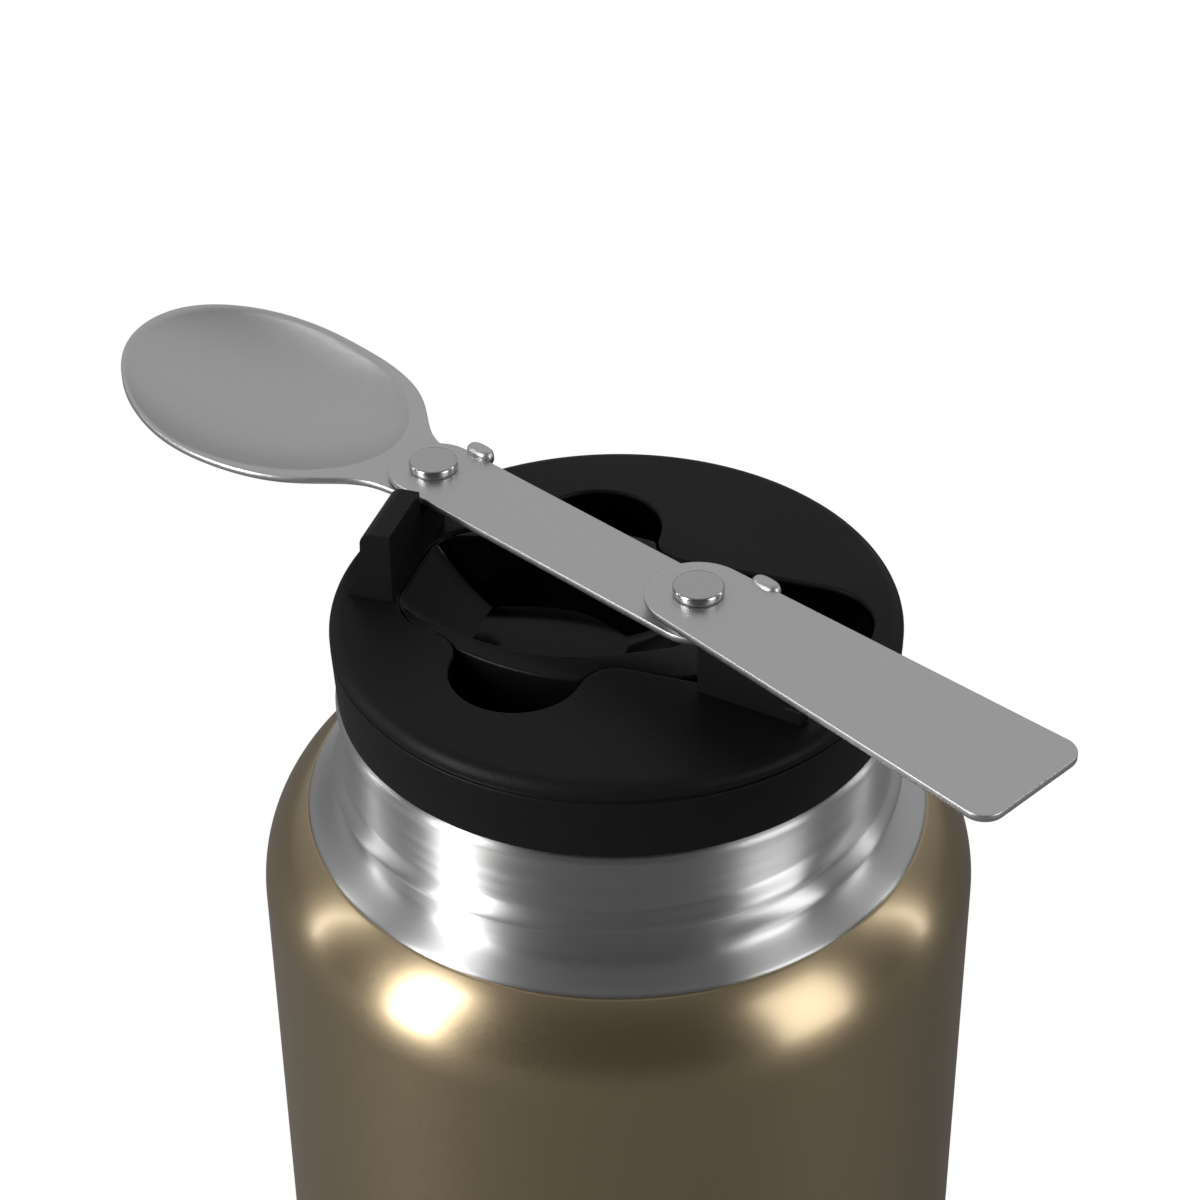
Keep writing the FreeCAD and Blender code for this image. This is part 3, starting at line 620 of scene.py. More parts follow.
@dataclass
class JarBody:
    """The painted shell and the bare steel neck with its rolled thread."""

    radius: float = 51.9
    shoulder_foot: float = 94.0
    shoulder_top: float = 107.8
    shoulder_center: float = 35.2
    shoulder_radius: float = 16.7
    foot_radius: float = 47.9
    wall: float = 0.6
    foot_ring: float = 43.2
    neck_radius: float = 39.5
    neck_sides: Point = (111.0, 124.8)
    lip_top: float = 127.7
    bead_half: float = 2.2
    bead_rise: float = 1.5
    bead_lead: float = 10.0
    bead_first: float = 111.83
    bead_spans: tuple[Point, Point] = ((-250.0, -30.0), (-70.0, 150.0))
    bead_fade: float = 26.0

    def build(self, paint: bpy.types.Material, steel: bpy.types.Material) -> None:
        """Make the shell and the neck.

        Args:
            paint: the shell's finish.
            steel: the neck's finish.
        """
        dress(self.shell().finish(paint), "jar", "gold_paint", "outer_shell")
        dress(self.neck().finish(steel), "jar", "steel", "neck_ring")

    def shell(self) -> Shape:
        """The shell, from the ring it stands on to the top of its shoulder.

        Returns:
            The shape.
        """
        corner = self.radius - self.foot_radius
        end = math.degrees(math.asin((self.shoulder_top - self.shoulder_foot) / self.shoulder_radius))
        foot = arc((self.foot_radius, corner), corner, -90, 0, 12)
        sides = [(self.radius, corner + (self.shoulder_foot - corner) * share / 12) for share in range(1, 12)]
        shoulder = arc((self.shoulder_center, self.shoulder_foot), self.shoulder_radius, 0, end, 28)
        inner = arc((self.shoulder_center, self.shoulder_foot), self.shoulder_radius - self.wall, end, 0, 12)
        below = arc((self.foot_radius, corner), corner - self.wall, 0, -90, 8)
        return lathe("outer_shell", [(self.foot_ring, 0.0), *foot, *sides, *shoulder, *inner, *below,
                                     (self.foot_ring, self.wall)])

    def bead(self, degrees: float, height: float) -> float:
        """How far the rolled thread stands out at a place on the neck.

        Args:
            degrees: the angle round the axis.
            height: the height above the foot.

        Returns:
            The rise in millimetres.
        """
        rise = 0.0
        for start, end in self.bead_spans:
            for turn in (-360.0, 0.0, 360.0):
                angle = degrees + turn
                if not start <= angle <= end:
                    continue
                fade = min(1.0, (angle - start) / self.bead_fade, (end - angle) / self.bead_fade)
                fade = fade * fade * (3 - 2 * fade)
                away = height - self.bead_first - self.bead_lead * (angle - start) / 360.0
                away /= self.bead_half
                if abs(away) < 1:
                    rise = max(rise, fade * self.bead_rise * math.cos(away * math.pi / 2) ** 1.3)
        return rise

    def neck(self, count: int = 384) -> Shape:
        """The flange, the neck and its rolled lip.

        Args:
            count: how many stretches it has round the axis.

        Returns:
            The shape.
        """
        shape = Shape("neck_ring")
        flange = [(44.7, 107.75), (44.3, 108.05), (43.6, 108.3), (42.6, 108.55), (41.4, 108.85),
                  (40.5, 109.2), (39.95, 109.7), (39.65, 110.3), (39.5, 111.0)]
        low, high = self.neck_sides
        body = [(self.neck_radius, low + (high - low) * share / 56) for share in range(1, 57)]
        lip = [(39.52, 125.3), (39.6, 125.6), *arc((38.7, 126.6), 1.1, -30, 90, 10), (37.9, self.lip_top)]
        inside = [(37.85, 127.2), (38.9, 126.5), (38.9, 112.0), (39.4, 109.4), (41.0, 108.3), (44.0, 107.4)]
        section = flange + body + lip + inside
        rows = []
        for radius, height in section:
            row = []
            for number in range(count):
                angle = 2 * math.pi * number / count
                outside = 110.2 < height < 125.4 and radius > 39.2
                reach = radius + (self.bead(math.degrees(angle), height) if outside else 0.0)
                row.append((reach * math.cos(angle), reach * math.sin(angle), height))
            rows.append(row)
        made = shape.stack(rows)
        shape.bridge(made[-1], made[0])
        return shape


@dataclass
class Opening:
    """The plan of the stopper's spoon pocket with its two finger scoops, in the jar's frame."""

    turn: float = 162.0
    left: float = 30.0
    right: float = -35.5
    half: float = 13.2
    corner: float = 8.5
    scoop: Point = (8.5, 18.0)
    scoop_radius: float = 9.2
    blend: float = 5.0

    def plan(self, margin: float, count: int = 480) -> list[Point]:
        """The outline, moved outwards by a margin, in the cradle's own axes.

        Args:
            margin: how far to move it.
            count: how many points it has.

        Returns:
            The outline, counter-clockwise.
        """
        corner, half = self.corner + margin, self.half + margin
        radius, blend = self.scoop_radius + margin, self.blend - margin
        across = half + blend
        reach = math.sqrt((radius + blend) ** 2 - (self.scoop[1] - across) ** 2)
        lean = math.degrees(math.asin((self.scoop[1] - across) / (radius + blend)))
        ends = (self.left - self.corner, self.right + self.corner)
        upper = arc((ends[0], half - corner), corner, 0, 90, 10)
        upper += arc((self.scoop[0] + reach, across), blend, 270, 180 - lean, 6)
        upper += arc(self.scoop, radius, -lean, 180 + lean, 36)
        upper += arc((self.scoop[0] - reach, across), blend, lean, -90, 6)
        upper += arc((ends[1], half - corner), corner, 90, 180, 10)
        lower = [(x, -y) for x, y in reversed(upper)]
        return resample(upper + lower, count)

    def place(self, points: Sequence[Point]) -> list[Point]:
        """Turn an outline from the cradle's axes into the jar's frame."""
        return turned_outline(points, self.turn)

    def outline(self, margin: float) -> list[Point]:
        """The opening in the jar's frame."""
        return self.place(self.plan(margin))


def clip(points: Sequence[Point], limit: Sequence[Point], center: Point) -> list[Point]:
    """Hold an outline inside another one, along rays from a centre.

    Args:
        points: the outline to hold.
        limit: the outline it stays inside.
        center: where the rays start.

    Returns:
        The held outline.
    """
    held = []
    middle = Vector(center)
    walls = [(Vector(limit[number - 1]) - middle, Vector(limit[number]) - middle)
             for number in range(len(limit))]
    for point in points:
        ray = Vector(point) - middle
        share = 1.0
        for first, second in walls:
            side = second - first
            across = ray.x * side.y - ray.y * side.x
            if abs(across) < 1e-9:
                continue
            along = (first.x * side.y - first.y * side.x) / across
            place = (first.x * ray.y - first.y * ray.x) / across
            if 0 < along < share and 0 <= place <= 1:
                share = along
        spot = middle + ray * share
        held.append((spot.x, spot.y))
    return held


def oval(left: float, left_half: float, middle: Point, right: float, right_half: float,
         bulge: float, count: int = 240) -> list[Point]:
    """An outline with two long curves, a straight left end and a bulging right end.

    Args:
        left: where the left end lies.
        left_half: half its width there.
        middle: place and half width of its widest point.
        right: where the right end lies.
        right_half: half its width there.
        bulge: how far the right end bulges.
        count: how many points it has.

    Returns:
        The outline, counter-clockwise.
    """
    first, top, last = Vector((left, left_half)), Vector(middle), Vector((right, right_half))
    upper = []
    for number in range(61):
        share = number / 60
        lower, higher = (first, top) if share < 0.5 else (top, last)
        local = share * 2 if share < 0.5 else share * 2 - 1
        along = lower.x + (higher.x - lower.x) * local
        ease = math.sin(local * math.pi / 2) if share < 0.5 else 1 - math.cos(local * math.pi / 2)
        upper.append((along, lower.y + (higher.y - lower.y) * ease))
    end = [(right - bulge * math.cos(angle * math.pi / 24), right_half * math.sin(angle * math.pi / 24))
           for angle in range(11, -12, -1)]
    lower_side = [(x, -y) for x, y in reversed(upper)]
    return smooth(resample(upper + end + lower_side, count), 14)


@dataclass
class StopperRibs:
    """The plug's screw ribs, laid round the axis by Geometry Nodes."""

    starts: int = 3
    share: float = 0.133
    radius: float = 36.6
    rise: float = 2.0
    foot: float = 110.7
    width: float = 1.6
    height: float = 1.9
    steps: int = 96

    def build(self, finish: bpy.types.Material) -> bpy.types.Object:
        """Make the ribs.

        Args:
            finish: their material.

        Returns:
            The ribs as one mesh object.
        """
        ribs = Growth("stopper_ribs", (
            ("Starts", "Int", self.starts), ("Share", "Float", self.share),
            ("Radius", "Float", self.radius * MM), ("Rise", "Float", self.rise * MM),
            ("Foot", "Float", self.foot * MM), ("Width", "Float", self.width * MM),
            ("Height", "Float", self.height * MM), ("Finish", "Material", finish)))
        given = ribs.given
        spiral = ribs.node("GeometryNodeCurveSpiral", {}, {
            "Resolution": self.steps, "Rotations": given["Share"], "Start Radius": given["Radius"],
            "End Radius": given["Radius"], "Height": given["Rise"]})
        section = ribs.node("GeometryNodeCurvePrimitiveQuadrilateral", {}, {
            "Width": given["Width"], "Height": given["Height"]})
        swept = ribs.node("GeometryNodeCurveToMesh", {}, {
            "Curve": spiral, "Profile Curve": section, "Fill Caps": True})
        places = ribs.node("GeometryNodeMeshLine", {}, {
            "Count": given["Starts"], "Offset": (0, 0, 0),
            "Start Location": ribs.vector(0, 0, given["Foot"])})
        step = ribs.node("ShaderNodeMath", {"operation": "DIVIDE"}, {0: 2 * math.pi, 1: given["Starts"]})
        angle = ribs.node("GeometryNodeInputIndex") * step
        copies = ribs.node("GeometryNodeInstanceOnPoints", {}, {
            "Points": places, "Instance": swept, "Rotation": ribs.vector(0, 0, angle)})
        return ribs.piece(copies)


@dataclass
class Stopper:
    """The screw stopper: head, cover, tray, hook and rest."""

    opening: Opening = field(default_factory=Opening)
    lid_top: float = 140.0
    seam: Point = (137.2, 137.7)
    pocket_floor: float = 132.5
    hollow_floor: float = 131.0
    band_top: float = 139.75
    hook_inner: float = 30.0
    hook_outer: float = 34.5
    hook_flare: float = 36.9
    hook_sides: Point = (-3.4, 8.4)
    hook_top: float = 151.0
    hook_round: float = 2.0
    post_reach: Point = (30.0, 36.0)
    post_sides: Point = (-12.5, -3.4)
    post_top: float = 146.25
    rest_start: Point = (-16.2, 15.6)
    rest_turn: float = -12.0
    rest_length: float = 15.9
    rest_sheet: float = 2.2
    rest_top: float = 148.6
    step_top: float = 142.6

    def build(self, matte: bpy.types.Material, soft: bpy.types.Material, gloss: bpy.types.Material) -> None:
        """Make the stopper's pieces.

        Args:
            matte: the finish of the outside.
            soft: the finish of the tray's rim.
            gloss: the finish of the recess.
        """
        dress(self.shell().finish(matte, Edge.CRISP), "stopper", "matte_black", "stopper_shell")
        dress(StopperRibs().build(matte), "stopper", "matte_black")
        dress(self.cover().finish(matte, Edge.CRISP), "stopper", "matte_black", "stopper_cover")
        dress(self.pocket().finish(gloss, Edge.CRISP), "stopper", "gloss_black", "spoon_tray")
        dress(self.band().finish(soft, Edge.CRISP), "stopper", "matte_black")
        dress(self.dish().finish(gloss), "stopper", "gloss_black")
        dress(self.hook().finish(matte, Edge.CRISP, 0.55), "stopper", "matte_black", "spoon_hook")
        dress(self.rest().finish(matte, Edge.CRISP, 0.4), "stopper", "matte_black", "spoon_rest")

    def shell(self) -> Shape:
        """The head with its skirt and the plug below it.

        Returns:
            The shape.
        """
        low, high = self.seam
        return lathe("stopper_shell", [
            (33.9, 106.9), (35.5, 106.9), (35.9, 107.3), (35.9, 129.7), (39.1, 129.7), (39.1, 127.9),
            (39.35, 127.9), (39.5, 128.05), (39.98, 136.9), (39.9, 137.12), (39.75, low), (39.4, low),
            (39.4, high), (37.8, high), (37.8, 131.2), (33.9, 131.2)])

    def cover(self) -> Shape:
        """The flat disc that the pocket opens through.

        Returns:
            The shape.
        """
        shape = Shape("stopper_cover")
        low, top = self.seam[1], self.lid_top
        rim = [(37.5, low), (39.7, low), (39.93, low + 0.12), (40.0, low + 0.35), (40.0, top - 1.9),
               *arc((38.1, top - 1.9), 1.9, 8, 90, 9)]
        shape.pierced([ring(radius, height, 480) for radius, height in rim],
                      [level(self.opening.outline(margin), height) for margin, height in (
                          (0.42, top), (0.22, top - 0.06), (0.06, top - 0.22), (0.0, top - 0.45),
                          (0.0, low))])
        return shape

    def rim_plan(self, margin: float) -> list[Point]:
        """The outer edge of the tray's flush rim."""
        shape = oval(30.0 + margin, 10.4 + margin, (5.0, 17.8 + margin), -16.5 - margin, 11.0, 0.6)
        return clip(shape, self.opening.plan(-0.15 + margin), (5.0, 0.0))

    def hollow_plan(self, margin: float) -> list[Point]:
        """The inner edge of the rim, round the hollow for the spoon's bowl."""
        return oval(29.6 + margin, 8.4 + margin, (8.5, 13.2 + margin), -9.5 - margin, 6.6, 2.6)

    def pocket(self) -> Shape:
        """The recess's wall and floor.

        Returns:
            The shape.
        """
        shape = Shape("tray_pocket")
        floor = self.pocket_floor
        shape.solid([level(self.opening.outline(margin), height) for margin, height in (
            (-0.85, floor), (-0.42, floor + 0.16), (-0.16, floor + 0.5), (-0.06, floor + 1.0),
            (-0.04, self.lid_top - 0.6), (-0.02, self.lid_top - 0.6), (-0.02, floor - 1.0))])
        return shape

    def band(self) -> Shape:
        """The flush rim that stands round the hollow.

        Returns:
            The shape.
        """
        shape = Shape("tray_band")
        top, floor = self.band_top, self.pocket_floor
        place = self.opening.place
        shape.pierced([level(place(self.rim_plan(margin)), height) for margin, height in (
                          (0.0, floor - 0.1), (0.0, top - 0.5), (-0.1, top - 0.2), (-0.4, top))],
                      [level(place(self.hollow_plan(margin)), height) for margin, height in (
                          (0.5, top), (0.25, top - 0.12), (0.1, top - 0.4), (0.1, floor - 0.1))])
        return shape

    def dish(self) -> Shape:
        """The smooth hollow that takes the spoon's bowl.

        Returns:
            The shape.
        """
        shape = Shape("tray_hollow")
        middle = (10.0, 0.0)
        edge = self.hollow_plan(0.05)
        rows = []
        for number in range(25):
            share = math.cos(number / 24 * math.pi / 2 * 0.985)
            height = self.hollow_floor + (self.band_top - 0.45 - self.hollow_floor) * share ** 2.6
            plan = [(middle[0] + (x - middle[0]) * share, middle[1] + (y - middle[1]) * share)
                    for x, y in edge]
            rows.append(level(self.opening.place(plan), height))
        made = shape.stack(rows)
        shape.fill(made[-1])
        outside = [level(self.opening.place(self.hollow_plan(0.09)), self.band_top - 0.5)]
        outside.append(level(self.opening.place(self.hollow_plan(-1.0)), self.hollow_floor - 0.9))
        under = shape.stack(outside)
        shape.bridge(made[0], under[0])
        shape.fill(under[-1])
        return shape

    def hook(self) -> Shape:
        """The hook at the cradle's left end and the post beside it.

        Returns:
            The shape.
        """
        shape = Shape("spoon_hook")
        foot, low, curve_top = self.seam[1], self.lid_top, self.hook_top - self.hook_round
        side = [(self.hook_inner, foot), (self.hook_flare, foot), (self.hook_flare, low)]
        side += [(self.hook_outer + (self.hook_flare - self.hook_outer) * (1 - share / 6) ** 2.2,
                  low + (curve_top - low) * share / 6) for share in range(1, 7)]
        side += arc((self.hook_outer - self.hook_round, curve_top), self.hook_round, 8, 90, 7)
        side += [(self.hook_inner, self.hook_top)]
        shape.solid([[(along, across, height) for along, height in side] for across in self.hook_sides])
        (near, far), (front, back) = self.post_reach, self.post_sides
        post = [(near, front), (far, front), (far, back), (near, back)]
        shape.solid([level(post, self.lid_top), level(post, self.post_top)])
        shape.mesh.transform(Matrix.Rotation(math.radians(self.opening.turn), 4, "Z"))
        return shape

    def rest(self) -> Shape:
        """The upright rest at the front, with the low step beyond it.

        Returns:
            The shape.
        """
        shape = Shape("spoon_rest")
        angle = math.radians(self.rest_turn)
        along = Vector((-math.cos(angle), -math.sin(angle)))
        across = Vector((-along.y, along.x))
        start = Vector(self.rest_start)
        end, step = self.rest_length, self.rest_length - 2.6
        upright = ((0.0, self.lid_top), (end, self.lid_top), (end, self.step_top), (step, self.step_top),
                   (step - 0.8, self.step_top + 0.8), (step - 0.8, self.rest_top), (0.0, self.rest_top))
        rows = []
        for side in (0.0, self.rest_sheet):
            spots = [start + along * reach + across * side for reach, _ in upright]
            rows.append([(spot.x, spot.y, height) for spot, (_, height) in zip(spots, upright)])
        shape.solid(rows)
        shape.mesh.transform(Matrix.Rotation(math.radians(self.opening.turn), 4, "Z"))
        return shape


@dataclass
class Spoon:
    """The folding spoon that lies on the stopper."""

    first: Point = (-25.9, 20.7)
    second: Point = (10.960, -14.402)
    link_angle: float = -43.6
    link_length: float = 50.9
    handle_angle: float = -45.3
    bowl_angle: float = 138.5
    link_foot: float = 148.6
    handle_foot: float = 151.4
    tang_foot: float = 147.15
    sheet: float = 1.1
    link_half: float = 6.5
    link_lug: float = 2.4
    handle_halves: Point = (7.3, 9.8)
    handle_reach: float = 57.4
    handle_corner: float = 3.0
    handle_lug: float = 5.0
    bowl_span: Point = (-6.4, 64.3)
    spine_span: Point = (-1.0, 46.0)
    press_middle: float = 36.4
    press_length: float = 26.6
    press_width: float = 17.8
    press_depth: float = 6.6
    hem: float = 0.14
    shank_radius: float = 1.95
    shank_bore: float = 0.6
    head_feet: Point = (149.7, 152.55)

    def build(self, satin: bpy.types.Material, rivet: bpy.types.Material) -> None:
        """Make the spoon's pieces.

        Args:
            satin: the finish of the pressed sheet.
            rivet: the finish of the rivets.
        """
        dress(self.link().finish(satin, Edge.CRISP), "link", "satin_steel", "spoon_link")
        dress(self.handle().finish(satin, Edge.CRISP), "handle", "satin_steel", "spoon_handle")
        dress(self.bowl().finish(satin), "bowl", "satin_steel", "spoon_bowl")
        dress(self.heads(rivet), "link", "satin_steel", "bowl_rivet", "handle_rivet")
        dress(self.shanks().finish(rivet, Edge.CRISP), "link", "satin_steel")

    def link(self) -> Shape:
        """The link between the two rivets, with the stop lug at its bowl end.

        Returns:
            The shape.
        """
        half = self.link_half
        plan = arc((0, 0), half, 90, 270, 40) + arc((self.link_length, 0), half, -90, 90, 40)
        shape = self._plate("spoon_link", resample(plan, 300), self.link_foot, self.first, self.link_angle)
        self._lug(shape, (self.link_lug, half), (self.link_foot + 0.1, self.link_foot + self.sheet + 1.2),
                  self.first, self.link_angle)
        return shape

    def handle(self) -> Shape:
        """The handle, wider towards its free end, with a lug bent down near its rivet.

        Returns:
            The shape.
        """
        (start, end), corner = self.handle_halves, self.handle_corner
        plan = arc((0, 0), start, 90, 270, 40)
        plan += arc((self.handle_reach - corner, -end + corner), corner, -88, 0, 14)
        plan += arc((self.handle_reach - corner, end - corner), corner, 0, 88, 14)
        foot = self.handle_foot
        shape = self._plate("spoon_handle", resample(plan, 420), foot, self.second, self.handle_angle)
        self._lug(shape, (self.handle_lug, start), (foot - 1.2, foot + self.sheet + 0.6),
                  self.second, self.handle_angle)
        return shape

    def _plate(self, name: str, plan: Sequence[Point], low: float, pivot: Point, degrees: float) -> Shape:
        """A flat plate with softly broken edges, put on its pivot."""
        return prism(name, turned_outline(plan, degrees, pivot), low, low + self.sheet, 0.16)

    def _lug(self, shape: Shape, place: Point, span: Point, pivot: Point, degrees: float) -> None:
        """Add a rounded lug on a plate's back edge.

        Args:
            shape: the plate.
            place: how far along the plate the lug lies, and where the plate's edge is.
            span: its foot and its top.
            pivot: the plate's rivet.
            degrees: how far the plate is turned.
        """
        (along, edge), (low, high) = place, span
        plan = []
        for number in range(48):
            angle = 2 * math.pi * number / 48
            cosine, sine = math.cos(angle), math.sin(angle)
            plan.append((along + 2.3 * math.copysign(abs(cosine) ** 0.7, cosine), edge + 0.55 + 1.3 * sine))
        rows = [level(turned_outline(grow(plan, margin), degrees, pivot), height) for margin, height in (
            (-0.5, low), (-0.15, low + 0.15), (0.0, low + 0.5), (0.0, high - 0.9), (-0.1, high - 0.5),
            (-0.35, high - 0.2), (-0.75, high))]
        shape.solid(rows)

    def half_width(self, along: float) -> float:
        """Half the width of tang and bowl.

        Args:
            along: the distance from the bowl's rivet.

        Returns:
            The half width there.
        """
        rows = [(-6.4, 0.0), (-5.9, 2.5), (-4.5, 4.6), (-2.4, 5.95), (0.0, 6.4), (3.0, 6.4), (6.0, 6.6),
                (8.0, 7.6), (10.5, 9.7), (13.5, 12.4), (17.0, 14.9), (21.0, 16.6), (26.0, 17.9), (32.0, 18.6),
                (38.0, 18.6), (42.0, 18.1), (46.0, 17.2), (51.0, 15.5), (56.0, 12.8), (60.0, 9.6),
                (62.4, 6.6), (63.8, 3.6), (64.3, 0.0)]
        for (low, first), (high, second) in zip(rows, rows[1:]):
            if along <= high:
                share = max(0.0, (along - low) / (high - low))
                return first + (second - first) * share
        return 0.0

    @staticmethod
    def lean(along: float) -> float:
        """How far the bowl's middle line leans to its far side towards the tip."""
        return -3.9 * max(0.0, (along - 33.0) / 31.3) ** 1.3

    def depth(self, along: float, across: float) -> float:
        """How far the bowl is pressed down.

        Args:
            along: the distance from the bowl's rivet.
            across: the distance from the rivet's line.

        Returns:
            The depth there.
        """
        away = math.sqrt(((along - self.press_middle) / self.press_length) ** 2
                         + ((across - self.lean(along)) / self.press_width) ** 2)
        if away >= 1:
            return 0.0
        return self.press_depth * (1 - away ** 2.2) ** 0.9

    def bowl(self) -> Shape:
        """The bowl, pressed from one sheet with its tang.

        Returns:
            The shape.
        """
        count, layers = 260, 34
        (low, high), (heel, center) = self.bowl_span, self.spine_span
        steps = [low + (high - low) * (1 - math.cos(math.pi * number / 130)) / 2 for number in range(131)]
        upper = [(step, self.half_width(step)) for step in steps]
        plan = upper + [(x, -y) for x, y in reversed(upper[1:-1])]
        plan = [(x, y + self.lean(x)) for x, y in plan]
        plan = smooth(resample(list(reversed(plan)), count), 26)
        spine = [(min(max(x, heel), center), self.lean(min(x, center))) for x, _ in plan]
        top, under = [], []
        for number in range(layers + 1):
            share = 1 - number / layers
            row = [(middle[0] + (x - middle[0]) * share, middle[1] + (y - middle[1]) * share)
                   for (x, y), middle in zip(plan, spine)]
            top.append([(x, y, self.tang_foot + self.sheet - self.depth(x, y)) for x, y in row])
            under.append([(x, y, self.tang_foot - self.depth(x, y)) for x, y in row])
        shape = Shape("spoon_bowl")
        lower, upper_edge = ([(x, y, z + shift) for x, y, z in points]
                             for points, shift in ((under[0], self.hem), (top[0], -self.hem)))
        inset = grow(plan, -self.hem)
        top[0] = [(x, y, point[2]) for (x, y), point in zip(inset, top[0])]
        under[0] = [(x, y, point[2]) for (x, y), point in zip(inset, under[0])]
        shape.stack([*reversed(top), upper_edge, lower, *under])
        shape.mesh.transform(Matrix.Translation((self.first[0] * MM, self.first[1] * MM, 0))
                             @ Matrix.Rotation(math.radians(self.bowl_angle), 4, "Z"))
        return shape

    def shanks(self) -> Shape:
        """The shanks of both rivets and the flattened tail of the bowl's rivet.

        Returns:
            The shape.
        """
        shape = Shape("rivet_shanks")
        bore, radius = self.shank_bore, self.shank_radius
        tail = ((bore, 146.32), (2.6, 146.32), (2.75, 146.5), (2.75, 147.0), (radius, 147.08),
                (radius, 149.8), (bore, 149.8))
        plain = ((bore, 148.66), (radius, 148.66), (radius, 152.7), (bore, 152.7))
        for pivot, section in ((self.first, tail), (self.second, plain)):
            shape.solid([[(x + pivot[0], y + pivot[1], z) for x, y, z in ring(reach, height, 48)]
                         for reach, height in section])
        return shape

    def heads(self, finish: bpy.types.Material) -> bpy.types.Object:
        """Both rivet heads, laid by Geometry Nodes at the two pivots.

        Args:
            finish: their material.

        Returns:
            The heads as one mesh object.
        """
        head = lathe("head", [(0.0, 0.0), (3.3, 0.0), (3.46, 0.1), (3.5, 0.3), (3.5, 0.95), (3.44, 1.16),
                              (3.28, 1.32), (3.02, 1.39), (2.4, 1.4), (0.0, 1.4)], False, 64).finish(finish)
        first, second = ((*[value * MM for value in pivot], foot * MM)
                         for pivot, foot in zip((self.first, self.second), self.head_feet))
        heads = Growth("rivet_heads", (("First", "Vector", first), ("Second", "Vector", second),
                                       ("Head", "Object", head), ("Finish", "Material", finish)))
        given = heads.given
        spot = heads.node("GeometryNodeSwitch", {"input_type": "VECTOR"}, {
            "Switch": heads.node("GeometryNodeInputIndex"), "False": given["First"], "True": given["Second"]})
        line = heads.node("GeometryNodeMeshLine", {}, {"Count": 2})
        places = heads.node("GeometryNodeSetPosition", {}, {"Geometry": line, "Position": spot})
        shown = heads.node("GeometryNodeObjectInfo", {}, {"Object": given["Head"]}, "Geometry")
        copies = heads.node("GeometryNodeInstanceOnPoints", {}, {"Points": places, "Instance": shown})
        item = heads.piece(copies)
        bpy.data.objects.remove(head)
        return item


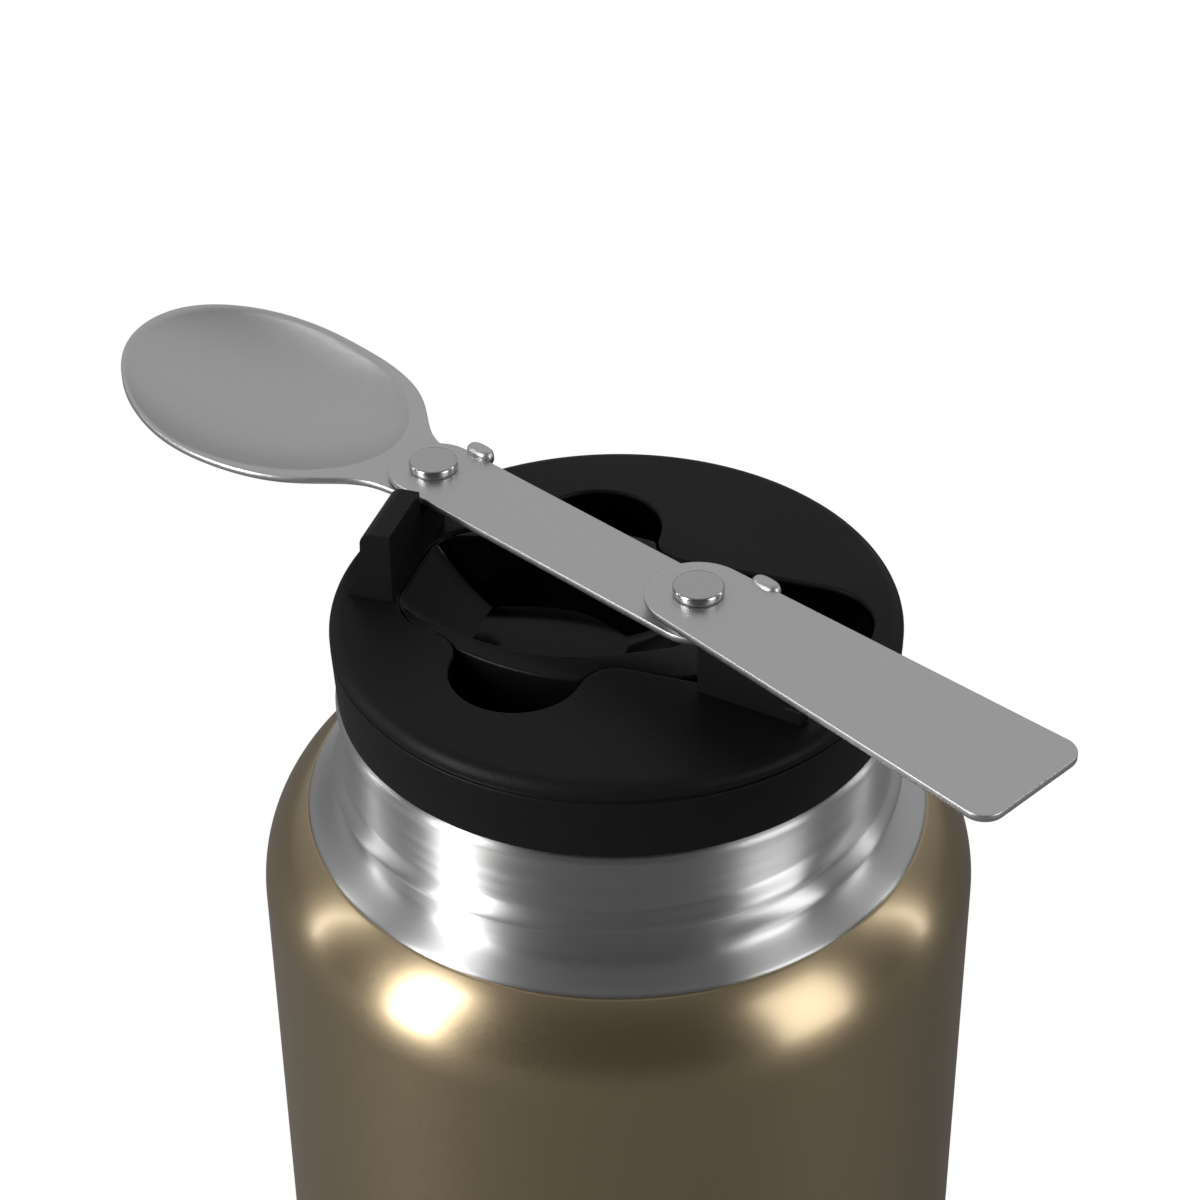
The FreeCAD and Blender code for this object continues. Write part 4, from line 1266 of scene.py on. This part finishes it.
@dataclass
class Studio:
    """Floor, soft light and the camera at the photograph's place."""

    elevation: float = 36.0
    distance: float = 0.4264
    focal_pixels: float = 3065.0
    frame_pixels: float = 1200.0
    shift: Point = (16.1, 6.2)
    roll: float = -0.47
    target_height: float = 0.140
    glow: Point = (0.80, 0.60)
    glow_strength: float = 0.50
    dark_strength: float = 0.06

    def build(self) -> None:
        """Add the floor, the lights, the world and the camera."""
        self.floor()
        self.lights()
        self.world()
        self.camera()

    def floor(self) -> None:
        """A plain pale floor."""
        mesh = bmesh.new()
        bmesh.ops.create_grid(mesh, x_segments=1, y_segments=1, size=4.0)
        data = bpy.data.meshes.new("floor")
        mesh.to_mesh(data)
        mesh.free()
        item = bpy.data.objects.new("floor", data)
        item.location.z = -0.0005
        bpy.context.scene.collection.objects.link(item)
        material = bpy.data.materials.new("floor_white")
        graph = Graph(material)
        x, y, z = graph.axes()
        shade = graph.noise(graph.vector(x, y, z), 3.0) * 0.02 + 0.22
        shader = graph.node("ShaderNodeBsdfPrincipled", {}, {
            "Base Color": graph.vector(shade, shade, shade), "Roughness": 0.9, "Specular IOR Level": 0.0})
        glow = graph.node("ShaderNodeEmission", {}, {"Color": (1, 1, 1, 1), "Strength": 1.0})
        seen = graph.node("ShaderNodeLightPath", output="Is Camera Ray")
        mix = graph.node("ShaderNodeMixShader", {}, {0: seen, 1: shader, 2: glow})
        graph.node("ShaderNodeOutputMaterial", {}, {"Surface": mix})
        data.materials.append(material)

    def lights(self) -> None:
        """Large soft lamps left, right and above."""
        middle = Vector((0, 0, 0.1))
        rows = (("key", (-0.80, -0.46, 0.36), (0.26, 0.9), 9.0),
                ("fill", (0.80, -0.52, 0.36), (0.40, 0.9), 4.0),
                ("left_strip", (-0.95, 0.17, 0.35), (0.05, 0.9), 1.2),
                ("right_strip", (0.95, 0.17, 0.35), (0.05, 0.9), 1.0))
        for name, spot, extent, power in rows:
            lamp = bpy.data.lights.new(name, "AREA")
            lamp.shape, lamp.size, lamp.size_y, lamp.energy = "RECTANGLE", extent[0], extent[1], power
            item = bpy.data.objects.new(name, lamp)
            item.location = spot
            item.rotation_euler = (middle - Vector(spot)).to_track_quat("-Z", "Y").to_euler()
            bpy.context.scene.collection.objects.link(item)

    def world(self) -> None:
        """Soft surroundings, brightest above and behind, which the camera sees as white."""
        world = bpy.data.worlds.new("studio")
        bpy.context.scene.world = world
        graph = Graph(world)
        x, y, z = graph.axes("Generated")
        lit = ((y * self.glow[0] + z * self.glow[1] + 0.25) * 0.95).clamp(0.0, 1.0)
        seen = graph.node("ShaderNodeLightPath", output="Is Camera Ray")
        strength = lit * lit * self.glow_strength + self.dark_strength
        dim = graph.node("ShaderNodeBackground", {}, {"Color": (1, 1, 1, 1), "Strength": strength})
        white = graph.node("ShaderNodeBackground", {}, {"Color": (1, 1, 1, 1), "Strength": 1.0})
        mix = graph.node("ShaderNodeMixShader", {}, {0: seen, 1: dim, 2: white})
        graph.node("ShaderNodeOutputWorld", {}, {"Surface": mix})

    def camera(self) -> None:
        """The camera that sees the jar as the photograph does."""
        lean = math.radians(self.elevation)
        place = Vector((0, -math.cos(lean), math.sin(lean))) * self.distance
        ahead = -place.normalized()
        right = Vector((1, 0, 0))
        up = right.cross(ahead)
        sideways = math.atan2(self.shift[0], self.focal_pixels)
        down = math.atan2(self.shift[1], self.focal_pixels)
        aim = Matrix.Rotation(sideways, 3, up) @ ahead
        side = Matrix.Rotation(sideways, 3, up) @ right
        above = side.cross(aim)
        aim = Matrix.Rotation(down, 3, side) @ aim
        above = Matrix.Rotation(down, 3, side) @ above
        tilt = math.radians(self.roll)
        x_axis = side * math.cos(tilt) + above * math.sin(tilt)
        y_axis = above * math.cos(tilt) - side * math.sin(tilt)
        frame_axes = Matrix((x_axis, y_axis, -aim)).transposed()
        data = bpy.data.cameras.new("camera")
        data.sensor_width = 36.0
        data.lens = self.focal_pixels / self.frame_pixels * data.sensor_width
        data.clip_start = 0.01
        item = bpy.data.objects.new("camera", data)
        place += Vector((0, 0, self.target_height))
        item.matrix_world = Matrix.Translation(place) @ frame_axes.to_4x4()
        bpy.context.scene.collection.objects.link(item)
        bpy.context.scene.camera = item


def repaint(nodes: dict, finishes: dict[str, tuple[str, ...]], made: dict[str, bpy.types.Material]) -> None:
    """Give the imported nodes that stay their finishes.

    Args:
        nodes: the frame's node objects by name.
        finishes: the node names for each finish.
        made: the materials by name.
    """
    for finish, names in finishes.items():
        for name in names:
            for slot in nodes[name].material_slots:
                slot.material = made[finish]
            LOG.info("%s keeps its packed shape", name)


def main() -> None:
    """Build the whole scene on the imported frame."""
    logging.basicConfig(level=logging.INFO, format="%(name)s: %(message)s")
    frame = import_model()
    scene = bpy.context.scene
    scene.view_settings.view_transform = "Standard"
    finishes = (GOLD_PAINT, TURNED_STEEL, SATIN_STEEL, RIVET_STEEL, MATTE_BLACK, SOFT_BLACK, GLOSS_BLACK,
                SILICONE, FOAM)
    made = {finish.name: finish.material() for finish in finishes}
    JarBody().build(made["champagne_paint"], made["turned_steel"])
    Stopper().build(made["matte_black"], made["soft_black"], made["gloss_black"])
    Spoon().build(made["satin_steel"], made["rivet_steel"])
    repaint(frame["nodes"], {
        "turned_steel": ("inner_liner", "base_plate", "vacuum_seal", "getter"),
        "satin_steel": ("handle_spacer",),
        "matte_black": ("plug_cover", "base_cover"),
        "clear_silicone": ("neck_gasket", "bowl_washer"),
        "closed_cell_foam": ("plug_insulation",)}, made)
    Studio().build()


if __name__ == "__main__":
    main()
